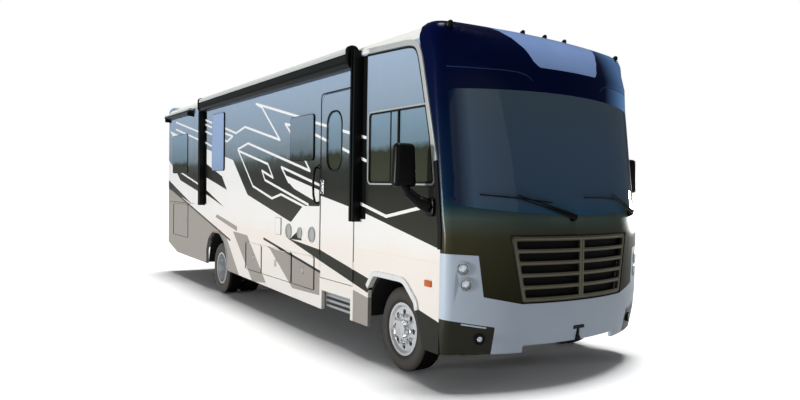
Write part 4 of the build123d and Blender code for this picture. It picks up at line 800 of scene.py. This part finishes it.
# Cab windows: thin bright frame, black seal inside it with divider and slider bar; heights from the eave
# Frame and seal: corners, corner radius, width, proud; bars: X, half width, proud
cabSpec = {
    "frame": ([(-0.563, -1.348), (0.697, -1.348), (0.566, -0.602), (-0.563, -0.602)], 0.065, 0.015, 0.009),
    "seal": ([(-0.545, -1.330), (0.672, -1.330), (0.548, -0.620), (-0.545, -0.620)], 0.05, 0.016, 0.006),
    "bars": [(0.04, 0.013, 0.016), (-0.12, 0.009, 0.006)], "barEnds": (-1.325, -0.625), "barOut": -0.010,
}


def addCabRing(bm, part, side):
    corners, radius, width, proud = cabSpec[part]
    ringFrame(bm, [onWall(x, eaveZ + z, side) for x, z in corners], radius, width, side, proud)


bm = bmesh.new()
seal = bmesh.new()
for side in sides.values():
    addCabRing(bm, "frame", side)
    addCabRing(seal, "seal", side)
    for x, half, proud in cabSpec["bars"]:
        path = [onWall(x, eaveZ + z, side, cabSpec["barOut"]) for z in cabSpec["barEnds"]]
        wallMoulding(seal, path, -half, half, side, proud)
finishPiece("cabWindowFrames", bm, "satinSilver", "coach")
finishPiece("cabWindowSeals", seal, "sealRubber", "coach")
print("windows made")

# Entry door: frame on the wall, window ring and latch on the leaf; high and window heights from the eave
doorSpec = {
    "rear": -1.718, "front": -0.87, "low": 1.0, "high": -0.312, "corner": 0.12, "frame": (0.002, 0.016),
    "frameProud": 0.005, "frameSoften": 0.002, "window": (-1.555, -1.180, -1.19, -0.53),
    "windowCorner": 0.164, "windowLap": 0.014, "windowRing": 0.020, "windowProud": 0.008,
    "windowSoften": 0.003, "latchX": -1.655, "latchZ": 1.80,
}
doorLatch = {
    "frame": ((0.040, 0.085), 0.012, 0.010, 0.016, 0.003), "padHalf": (0.022, 0.060), "padOut": 0.010,
}
bm = bmesh.new()
rear, front, low, high = doorSpec["rear"], doorSpec["front"], doorSpec["low"], eaveZ + doorSpec["high"]
outline = [onWall(rear, low), onWall(rear, high), onWall(front, high), onWall(front, low)]
wallMoulding(bm, roundPath(outline, doorSpec["corner"]), *doorSpec["frame"], -1, doorSpec["frameProud"],
             doorSpec["frameSoften"])
finishPiece("doorFrame", bm, "blackPowderCoat", "coach")
bm = bmesh.new()
ringFrame(bm, windowCorners(doorSpec["window"], doorSpec["windowLap"], -1), doorSpec["windowCorner"],
          doorSpec["windowRing"], -1, doorSpec["windowProud"], doorSpec["windowSoften"])
finishPiece("doorWindowFrame", bm, "blackPowderCoat", "entrance")
bm = bmesh.new()
addLatch(bm, doorSpec["latchX"], doorSpec["latchZ"], -1, doorLatch)
finishPiece("doorLatch", bm, "brushedAluminium", "entrance")

# Grab handle: one bent bar beside the door, on round feet; line as height and stand-off
handleSpec = {
    "x": -1.775, "radius": 0.0135, "bend": 0.05,
    "line": [(1.60, -0.004), (1.615, 0.045), (1.70, 0.066), (1.82, 0.072), (1.94, 0.066), (2.02, 0.045),
             (2.035, -0.004)],
    "foot": [(0.0, 0.030), (0.008, 0.028), (0.014, 0.018), (0.016, 0.0)],
}
bm = bmesh.new()
line = [onWall(handleSpec["x"], z, -1, out) for z, out in handleSpec["line"]]
tube(bm, roundPath(line, handleSpec["bend"], 5), handleSpec["radius"], 14)
for z, out in (handleSpec["line"][0], handleSpec["line"][-1]):
    turned(bm, handleSpec["foot"], onWall(handleSpec["x"], z), (0, -1, 0), 24)
weld(bm)
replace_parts(finishPiece("grabBar", bm, "blackPlastic", "coach"), "grab_handle")

# Pillar mouldings: silver above the mirror and along the roof edge, black below, with a seal behind
railSpec = {
    "silver": [(0.700, 2.05), (0.385, 3.16), (-0.60, 3.205)], "silverBend": 0.35,
    "black": [(0.79, 1.27), (0.79, 1.44), (0.700, 2.05)], "blackBend": 0.30,
    "half": 0.027, "proud": 0.014, "seal": (0.030, 0.052), "sealProud": 0.006, "sealSoften": 0.002,
    "dripEnds": (-0.55, -9.13), "dripUp": 0.02, "dripHalf": 0.020, "dripProud": 0.018, "soften": 0.005,
}
bm = bmesh.new()
seal = bmesh.new()
drip = bmesh.new()
half, proud, soften = railSpec["half"], railSpec["proud"], railSpec["soften"]
for side in sides.values():
    path = roundPath([onWall(x, z, side) for x, z in railSpec["silver"]], railSpec["silverBend"], 12)
    wallMoulding(bm, path, -half, half, side, proud, soften)
    wallMoulding(seal, path, *railSpec["seal"], side, railSpec["sealProud"], railSpec["sealSoften"])
    path = roundPath([onWall(x, z, side) for x, z in railSpec["black"]], railSpec["blackBend"])
    wallMoulding(seal, path, -half, half, side, proud, soften)
    path = [onWall(x, eaveZ + railSpec["dripUp"], side) for x in railSpec["dripEnds"]]
    wallMoulding(drip, path, -railSpec["dripHalf"], railSpec["dripHalf"], side, railSpec["dripProud"], soften)
finishPiece("pillarMouldings", bm, "satinSilver", "coach")
finishPiece("pillarSeals", seal, "sealRubber", "coach")
finishPiece("dripRails", drip, "whiteCoat", "coach")

# Lips of the wheel arches, along the edge of the skirt openings: finish, width, proud, soften, line
archBend = 0.14
archSpec = {
    "front": ("whiteCoat", 0.055, 0.020, 0.006,
              [(-0.505, 0.760), (-0.385, 0.905), (0.19, 0.905), (0.39, 0.74), (0.412, 0.672)]),
    "rear": ("brushedAluminium", 0.022, 0.008, 0.003,
             [(-6.412, 0.455), (-6.415, 0.665), (-6.30, 0.865), (-6.06, 1.0), (-5.66, 1.0), (-5.40, 0.865),
              (-5.255, 0.65), (-5.22, 0.45)]),
}
for end, (finish, width, proud, soften, line) in archSpec.items():
    bm = bmesh.new()
    for side in sides.values():
        path = roundPath([onWall(x, z, side) for x, z in line], archBend)
        wallMoulding(bm, path, 0.0, width, side, proud, soften)
    finishPiece(end + "ArchLips", bm, finish, "coach")
print("mouldings made")

# Round vents low on the right side, with slats across
ventSpec = {
    "z": 1.222, "vents": [(-2.68, 0.098), (-2.32, 0.072), (-1.955, 0.098)], "slats": (-0.5, -0.17, 0.17, 0.5),
    "slatEdge": 0.028, "slatOut": -0.003, "slatHalf": 0.006, "slatProud": 0.010, "slatSoften": 0.002,
}
bm = bmesh.new()
for x, radius in ventSpec["vents"]:
    centre = onWall(x, ventSpec["z"])
    rim = [(0.0, radius), (0.014, radius - 0.004), (0.016, radius - 0.020), (0.004, radius - 0.026),
           (0.002, 0.0)]
    turned(bm, rim, centre, (0, -1, 0), 40)
    for slat in ventSpec["slats"]:
        reach = math.sqrt(1 - slat ** 2) * (radius - ventSpec["slatEdge"])
        path = [centre + Vector((end * reach, ventSpec["slatOut"], slat * radius)) for end in (-1, 1)]
        wallMoulding(bm, path, -ventSpec["slatHalf"], ventSpec["slatHalf"], -1, ventSpec["slatProud"],
                     ventSpec["slatSoften"])
weld(bm)
finishPiece("applianceVents", bm, "satinSilver", "coach")

# Grille: rounded bars and frame on the cast plate in a lighter bronze, a painted highlight, a seal round it,
# and a black sheet behind for the radiator and the shade inside the grille
grilleSpec = {
    "low": 0.802, "high": 1.396, "halfLow": 0.650, "halfHigh": 0.764, "frame": 0.021, "frameRadius": 0.012,
    "bars": (0.9358, 1.0446, 1.1534, 1.2622), "barRadius": 0.010, "divider": 0.018, "dividerUp": 0.02,
    "dividerStep": 0.055, "deep": -0.008, "sealInset": -0.004, "sealRadius": 0.007,
    "coreDeep": -0.060, "coreMiddle": 1.099, "coreHalf": 0.270, "coreInset": 0.02,
}


def grilleHalf(z):
    share = (z - grilleSpec["low"]) / (grilleSpec["high"] - grilleSpec["low"])
    return grilleSpec["halfLow"] + (grilleSpec["halfHigh"] - grilleSpec["halfLow"]) * share


# Points across the nose at one height, from one side to the other
def acrossNose(start, end, z, out, steps=14):
    return [onNose(start + (end - start) * step / steps, z, out) for step in range(steps + 1)]


# Closed loop round the grille, inset from its edge
def grilleLoop(inset, out):
    low, high = grilleSpec["low"] + inset, grilleSpec["high"] - inset
    lowHalf, highHalf = grilleHalf(low) - inset, grilleHalf(high) - inset
    left = []
    for step in range(1, 6):
        left.append(onNose(lowHalf + (highHalf - lowHalf) * step / 6, low + (high - low) * step / 6, out))
    right = [Vector((point.x, -point.y, point.z)) for point in reversed(left)]
    loop = acrossNose(-lowHalf, lowHalf, low, out) + left + acrossNose(highHalf, -highHalf, high, out) + right
    return loop + loop[:1]


bars = bmesh.new()
seal = bmesh.new()
deep = grilleSpec["deep"]
for z in grilleSpec["bars"]:
    for side in sides.values():
        reach = grilleHalf(z) - grilleSpec["frame"]
        tube(bars, acrossNose(side * grilleSpec["divider"], side * reach, z, deep), grilleSpec["barRadius"])
tube(bars, grilleLoop(grilleSpec["frame"], deep), grilleSpec["frameRadius"])
foot = grilleSpec["low"] + grilleSpec["dividerUp"]
heights = [foot + grilleSpec["dividerStep"] * step for step in range(11)]
for side in sides.values():
    tube(bars, [onNose(side * grilleSpec["divider"], z, deep) for z in heights], grilleSpec["barRadius"])
tube(seal, grilleLoop(grilleSpec["sealInset"], 0.0), grilleSpec["sealRadius"])
# Bars and frame in the lighter bronze: painted highlight
finishPiece("grilleBars", bars, "bronzeHighlight", "coach")
finishPiece("grilleSeal", seal, "sealRubber", "coach")
# Black sheet behind the grille: the radiator core, and painted shade inside the grille
bm = bmesh.new()
bmesh.ops.create_grid(bm, x_segments=20, y_segments=1, size=1.0)
for vert in bm.verts:
    z = grilleSpec["coreMiddle"] + vert.co.y * grilleSpec["coreHalf"]
    vert.co = onNose(vert.co.x * (grilleHalf(z) - grilleSpec["coreInset"]), z, grilleSpec["coreDeep"])
finishPiece("radiatorAndShadeScreen", bm, "radiatorCoreAndShade", "coach")

# Brow lamps, small hoods on rubber feet: height, reach ahead of the axle, radius of the brow, size, places
browSpec = {
    "lean": (0.62, 0.0, 0.78), "rows": [(3.340, 0.690, 4.6, 0.021, (0.0, 0.283, -0.283)),
                                        (3.290, 0.800, 4.0, 0.027, (1.115, -1.115))],
}
bm = bmesh.new()
for z, reach, radius, size, places in browSpec["rows"]:
    hood = [(-0.020, size * 1.2), (0.004, size * 1.2), (0.008, size), (size * 0.9, size * 0.85),
            (size * 1.3, size * 0.45), (size * 1.4, 0.0)]
    for y in places:
        centre = Vector((frontAxleX + reach - radius + math.sqrt(radius ** 2 - y ** 2), y, z))
        turned(bm, hood, centre, browSpec["lean"], 20)
weld(bm)
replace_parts(finishPiece("browLamps", bm, "blackPlastic", "coach"), "marker_lamps")

# Mirrors: tapered housing on a bent arm, glass behind, foot plate on the body
mirrorSpec = {
    "middle": (0.545, 1.510, 2.005), "size": (0.110, 0.225, 0.385), "taper": 0.86, "soften": 0.038,
    "arm": [(0.545, 1.505, 1.830), (0.560, 1.470, 1.765), (0.600, 1.385, 1.690), (0.640, 1.300, 1.640)],
    "armRadii": (0.036, 0.060), "armBend": 0.01, "foot": (0.575, 0.705, 1.555, 1.720), "footCorner": 0.04,
    "footProud": 0.030, "footSoften": 0.010, "paneIn": 0.006, "paneEdge": 0.024, "paneUp": 0.155,
    "paneCorner": 0.03, "paneThick": 0.010, "paneSoften": 0.002,
}
shells = bmesh.new()
glass = bmesh.new()
for side in sides.values():
    x, y, z = mirrorSpec["middle"]
    body = bmesh.ops.create_cube(shells, size=1.0)["verts"]
    for vert in body:
        narrow = mirrorSpec["taper"] if vert.co.z > 0 else 1.0
        vert.co = Vector((vert.co.x * narrow, vert.co.y * narrow, vert.co.z)) * Vector(mirrorSpec["size"])
        vert.co += Vector((frontAxleX + x, side * y, z))
    roundOff(shells, list({edge for vert in body for edge in vert.link_edges}), mirrorSpec["soften"], 5)
    points = [Vector((frontAxleX + armX, side * armY, armZ)) for armX, armY, armZ in mirrorSpec["arm"]]
    path = roundPath(points, mirrorSpec["armBend"], 3)
    count = len(path) - 1
    start, end = mirrorSpec["armRadii"]
    tube(shells, path, [start + (end - start) * number / count for number in range(count + 1)], 16)
    wallPlate(shells, wallCorners(*mirrorSpec["foot"], side), mirrorSpec["footCorner"], side,
              mirrorSpec["footProud"], mirrorSpec["footSoften"])
    back = frontAxleX + x - mirrorSpec["size"][0] / 2 + mirrorSpec["paneIn"]
    wide = mirrorSpec["size"][1] / 2 - mirrorSpec["paneEdge"]
    pane = [Vector((back, side * y + across * wide * (mirrorSpec["taper"] if up > 0 else 1.0),
                    z + up * mirrorSpec["paneUp"])) for across, up in ((-1, -1), (1, -1), (1, 1), (-1, 1))]
    raisePlate(glass, outlineFace(glass, pane, mirrorSpec["paneCorner"]),
               Vector((-mirrorSpec["paneThick"], 0, 0)), mirrorSpec["paneSoften"])
for name, bm, finish in (("mirrorShells", shells, "blackPlastic"), ("mirrorPanes", glass, "mirrorGlass")):
    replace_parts(finishPiece(name, bm, finish, "coach"), "mirrors")

# Wipers: blade on a yoke, twin arms from a pivot under the glass; points as sideways and height
wiperSpec = {
    "bend": 0.2, "bars": [(0.022, 0.006), (0.036, 0.005)], "armOut": 0.046, "armThin": 0.006,
    "armGrow": 0.010, "lean": 0.25, "pivot": [(-0.004, 0.034), (0.030, 0.034), (0.050, 0.026), (0.062, 0.0)],
}
wipers = [{"blade": [(-1.00, 1.762), (-0.68, 1.738), (-0.35, 1.700)],
           "arms": [(-0.70, 1.742), (-0.42, 1.655), (-0.11, 1.560)], "apart": 0.034},
          {"blade": [(0.05, 1.752), (0.34, 1.752), (0.62, 1.735)],
           "arms": [(0.46, 1.762), (0.70, 1.680), (0.93, 1.590)], "apart": 0.045}]
bm = bmesh.new()
for wiper in wipers:
    for out, radius in wiperSpec["bars"]:
        tube(bm, roundPath([onNose(y, z, out) for y, z in wiper["blade"]], wiperSpec["bend"], 6), radius, 8)
    for shift in (0.0, wiper["apart"]):
        points = [onNose(y + shift * 0.5, z + shift * 0.55, wiperSpec["armOut"]) for y, z in wiper["arms"]]
        arm = roundPath(points, wiperSpec["bend"], 6)
        shares = [number / (len(arm) - 1) for number in range(len(arm))]
        tube(bm, arm, [wiperSpec["armThin"] + wiperSpec["armGrow"] * share ** 2 for share in shares], 10)
    heading = noseHeading(wiper["arms"][-1][0])
    axis = (math.cos(heading), math.sin(heading), wiperSpec["lean"])
    turned(bm, wiperSpec["pivot"], onNose(*wiper["arms"][-1]), axis, 20)
weld(bm)
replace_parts(finishPiece("wiperSet", bm, "blackPlastic", "coach"), "wipers")
print("front fittings made")

# Baggage doors: rear X, front X, low, high, side; seals between them, a latch on each leaf
bayDoors = {
    "rear_right": (-8.75, -7.65, 0.800, 1.410, -1), "mid_right": (-4.35, -3.69, 0.565, 0.955, -1),
    "centre_right": (-3.69, -2.59, 0.565, 0.955, -1), "fore_right": (-2.59, -1.88, 0.565, 0.955, -1),
    "rear_left": (-8.75, -7.65, 0.800, 1.410, 1), "mid_left": (-4.35, -3.10, 0.565, 0.955, 1),
    "fore_left": (-3.10, -1.88, 0.565, 0.955, 1),
}
baySpec = {"sealHalf": 0.013, "sealProud": 0.004, "sealSoften": 0.001, "rearLatchIn": 0.16}
bayLatch = {
    "frame": ((0.030, 0.046), 0.010, 0.008, 0.006, 0.002), "padHalf": (0.018, 0.034), "padOut": 0.0,
}
bm = bmesh.new()
half = baySpec["sealHalf"]
for name, (rear, front, low, high, side) in bayDoors.items():
    for x in (rear, front):
        path = [onWall(x, low, side), onWall(x, high, side)]
        wallMoulding(bm, path, -half, half, side, baySpec["sealProud"], baySpec["sealSoften"])
    leaf = bmesh.new()
    end, hand = name.split("_")
    latchX = front - baySpec["rearLatchIn"] if end == "rear" else (rear + front) / 2
    addLatch(leaf, latchX, (low + high) / 2, side, bayLatch)
    body = "bay_door_" + name + "_body"
    finishPiece(end + hand.capitalize() + "Latch", leaf, "brushedAluminium", body)
finishPiece("baySeals", bm, "sealRubber", "coach")

# Utility hatches and side lamps; lamps as X, height, half sizes
sideSpec = {
    "hatch": (-3.145, -2.945, 1.154, 1.378), "corner": 0.012, "hatchProud": 0.010, "hatchRim": 0.003,
    "lamps": [(0.616, 0.950, (0.055, 0.030)), (-5.700, 1.050, (0.035, 0.016))], "lampProud": 0.014,
    "lampSoften": 0.005,
}
bm = bmesh.new()
lamps = bmesh.new()
for side in sides.values():
    raisedPane(bm, wallCorners(*sideSpec["hatch"], side), sideSpec["corner"], side, sideSpec["hatchProud"],
               sideSpec["hatchRim"])
    for x, z, half in sideSpec["lamps"]:
        wallPlate(lamps, cornersAbout(x, z, half, side), sideSpec["corner"], side, sideSpec["lampProud"],
                  sideSpec["lampSoften"])
finishPiece("utilityHatches", bm, "clearCoatedPaint sealRubber", "coach")
finishPiece("sideLamps", lamps, "amberLens", "coach")
print("side fittings made")

# Lamps of the nose: distance in from the wall, height, reach, radius, width of the black surround
lampSpec = [(0.125, 1.112, 1.290, 0.062, 0.0), (0.150, 0.975, 1.290, 0.062, 0.0),
            (0.275, 0.488, 1.270, 0.032, 0.018)]
lampParts = {
    "reflectors": ("chromePlate", bmesh.new()), "lenses": ("lampLens", bmesh.new()),
    "bezels": ("blackPlastic", bmesh.new()), "rims": ("satinSilver", bmesh.new()),
}
for inward, z, reach, radius, surround in lampSpec:
    dish = [(-0.004, radius - 0.004), (-0.010, radius * 0.86), (-0.026, radius * 0.62),
            (-0.036, radius * 0.30), (-0.036, radius * 0.20), (-0.016, radius * 0.16), (-0.012, 0.0)]
    lens = [(0.000, radius - 0.003), (0.006, radius * 0.80), (0.010, radius * 0.45), (0.011, 0.0)]
    ring = [(-0.020, radius + surround), (0.006, radius + surround), (0.008, radius - 0.006),
            (-0.002, radius - 0.010)]
    parts = [("reflectors", dish), ("lenses", lens), ("bezels" if surround else "rims", ring)]
    for side in sides.values():
        y = side * (sideY - inward)
        axis = Vector((math.cos(noseHeading(y)), math.sin(noseHeading(y)), 0))
        for part, profile in parts:
            turned(lampParts[part][1], profile, onNose(y, z, 0.0, reach), axis, 40)
for name, (finish, bm) in lampParts.items():
    weld(bm)
    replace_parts(finishPiece("lamp" + name.capitalize(), bm, finish, "coach"), "headlamps")
print("lamps made")

# Cab seats: moulded pedestal, padded cushion and back swelled by a cloth simulation; outlines as X, height
seatSpec = {
    "y": 0.52, "half": 0.225, "edge": 0.028, "voxel": 0.015, "cap": 0.020, "frames": 20, "pressure": 4.0,
    "cushion": [(-0.215, 1.425), (0.300, 1.448), (0.308, 1.520), (-0.115, 1.502)],
    "back": [(-0.165, 1.530), (-0.272, 2.005), (-0.262, 2.160), (-0.318, 2.166), (-0.345, 2.000),
             (-0.262, 1.500)],
    "foot": [(-0.16, -0.19), (0.20, -0.19), (0.20, 0.19), (-0.16, 0.19)], "footLow": 1.122, "footHigh": 1.415,
    "footCorner": 0.03, "footSoften": 0.012,
}


# Mesh of an object with its modifiers applied
def appliedMesh(thing):
    return bpy.data.meshes.new_from_object(thing.evaluated_get(bpy.context.evaluated_depsgraph_get()))


# Closed pad of one outline: coarse skin, blown up, then smoothed once
def swelledPad(name, outline):
    half = seatSpec["half"]
    bm = bmesh.new()
    face = outlineFace(bm, [Vector((frontAxleX + x, -half, z)) for x, z in outline])
    raisePlate(bm, face, Vector((0.0, 2 * half, 0.0)))
    bmesh.ops.recalc_face_normals(bm, faces=bm.faces)
    roundOff(bm, list(bm.edges), seatSpec["edge"], 3)
    pad = addObject(name, meshFrom(bm, name))
    skin = pad.modifiers.new("skin", "REMESH")
    skin.mode = "VOXEL"
    skin.voxel_size = seatSpec["voxel"]
    pad.data = appliedMesh(pad)
    pad.modifiers.clear()
    scene = bpy.context.scene
    cloth = pad.modifiers.new("cloth", "CLOTH")
    cloth.settings.use_pressure = True
    cloth.settings.uniform_pressure_force = seatSpec["pressure"]
    cloth.settings.effector_weights.gravity = 0.0
    cloth.point_cache.frame_end = seatSpec["frames"]
    for number in range(1, seatSpec["frames"] + 1):
        scene.frame_set(number)
    blown = appliedMesh(pad)
    pad.modifiers.clear()
    scene.frame_set(1)
    for vert, target in zip(pad.data.vertices, blown.vertices):
        move = target.co - vert.co
        vert.co += move * min(1.0, seatSpec["cap"] / max(move.length, 1e-6))
    bm = bmesh.new()
    bm.from_mesh(pad.data)
    bpy.data.objects.remove(pad)
    bmesh.ops.subdivide_edges(bm, edges=bm.edges, cuts=1, use_grid_fill=True)
    bmesh.ops.smooth_vert(bm, verts=bm.verts, factor=0.5, use_axis_x=True, use_axis_y=True, use_axis_z=True)
    return bm


bm = bmesh.new()
for side in sides.values():
    middle, low, high = side * seatSpec["y"], seatSpec["footLow"], seatSpec["footHigh"]
    corners = [Vector((frontAxleX + x, middle + y, low)) for x, y in seatSpec["foot"]]
    foot = outlineFace(bm, corners, seatSpec["footCorner"])
    raisePlate(bm, foot, Vector((0.0, 0.0, high - low)), seatSpec["footSoften"])
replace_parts(finishPiece("seatPedestals", bm, "dashSkin", "coach"), "seats")
for part in ("cushion", "back"):
    pad = swelledPad("pad" + part, seatSpec[part])
    for side, sign in sides.items():
        bm = pad.copy()
        bmesh.ops.translate(bm, verts=bm.verts, vec=(0.0, sign * seatSpec["y"], 0.0))
        name = "seat" + part.capitalize() + side.capitalize()
        piece = finishPiece(name, bm, "seatVinyl", "coach", 60)
        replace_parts(piece, "seats")
    pad.free()
print("seats made")

# Stage: pale floor, soft light all round; lamps from above, the kerb side, ahead and the far side
# Each lamp: strength, angle across, direction of its source
stageSpec = {
    "floorHalf": 400.0, "floorSeen": 1.42, "floorBounce": 0.58, "skyStrength": 0.09, "sky": "#f6f9ff",
    "lamps": [(2.40, 22.0, (-0.07, 0.07, 1.00)), (3.95, 5.0, (-0.35, -1.00, 0.005)),
              (0.26, 40.0, (1.00, -0.25, 0.12)), (1.80, 5.0, (-0.35, 1.00, 0.005))],
}


# 1 where the camera looks on, straight or through glass
def seenByCamera(tree):
    path = addNode(tree, "LightPath").outputs
    return calc(tree, "MAXIMUM", path["Is Camera Ray"], path["Is Transmission Ray"])


# Matt floor paint that the camera sees as white wherever the light reaches it
tree = newFinish("studioFloor", {})[0]
bounce, bright = stageSpec["floorBounce"], stageSpec["floorSeen"]
tone = paintOver(tree, (bounce, bounce, bounce, 1), seenByCamera(tree), (bright, bright, bright, 1))
matt = addNode(tree, "BsdfDiffuse", {"Color": tone})
tree.links.new(matt.outputs["BSDF"], tree.nodes["Material Output"].inputs["Surface"])
bm = bmesh.new()
bmesh.ops.create_grid(bm, x_segments=1, y_segments=1, size=stageSpec["floorHalf"])
floor = addObject("studioFloor", meshFrom(bm, "studioFloor"))
floor.data.materials.append(finishes["studioFloor"])

world = bpy.data.worlds.new("studioSky")
world.use_nodes = True
bpy.context.scene.world = world
tree = world.node_tree
soft = tree.nodes["Background"]
soft.inputs["Color"].default_value = toLinear(stageSpec["sky"])
soft.inputs["Strength"].default_value = stageSpec["skyStrength"]
backdrop = addNode(tree, "Background", {"Color": (1, 1, 1, 1), "Strength": 1.0})
mixed = addNode(tree, "MixShader", {0: seenByCamera(tree), 1: soft.outputs["Background"],
                                    2: backdrop.outputs["Background"]})
tree.links.new(mixed.outputs["Shader"], tree.nodes["World Output"].inputs["Surface"])

for number, (strength, angle, source) in enumerate(stageSpec["lamps"]):
    lamp = bpy.data.lights.new("softLamp" + str(number), "SUN")
    lamp.energy = strength
    lamp.angle = math.radians(angle)
    lampObject = addObject("softLamp" + str(number), lamp)
    lampObject.rotation_mode = "QUATERNION"
    lampObject.rotation_quaternion = Vector(source).to_track_quat("Z", "Y")

# Camera ahead of the kerb-side front corner, with the photograph's off-centre framing
cameraSpec = {
    "place": (9.5755, -4.5107, 1.7884), "yaw": 2.4668, "pitch": -0.0344, "roll": 0.0226, "focalPx": 657.05,
    "widthPx": 800, "heightPx": 400, "centrePx": (492.9, 214.3), "sensor": 36.0,
}
camera = bpy.data.cameras.new("camera")
camera.sensor_width = cameraSpec["sensor"]
camera.lens = cameraSpec["focalPx"] / cameraSpec["widthPx"] * cameraSpec["sensor"]
camera.shift_x = (cameraSpec["widthPx"] / 2 - cameraSpec["centrePx"][0]) / cameraSpec["widthPx"]
camera.shift_y = (cameraSpec["centrePx"][1] - cameraSpec["heightPx"] / 2) / cameraSpec["widthPx"]
cameraObject = addObject("camera", camera)
cameraObject.location = cameraSpec["place"]
yaw, pitch = cameraSpec["yaw"], cameraSpec["pitch"]
ahead = Vector((math.cos(pitch) * math.cos(yaw), math.cos(pitch) * math.sin(yaw), math.sin(pitch)))
cameraObject.rotation_mode = "QUATERNION"
cameraObject.rotation_quaternion = ahead.to_track_quat("-Z", "Y") @ Quaternion((0, 0, 1), cameraSpec["roll"])
bpy.context.scene.camera = cameraObject
bpy.context.scene.view_settings.view_transform = "Standard"

print("scene ready")
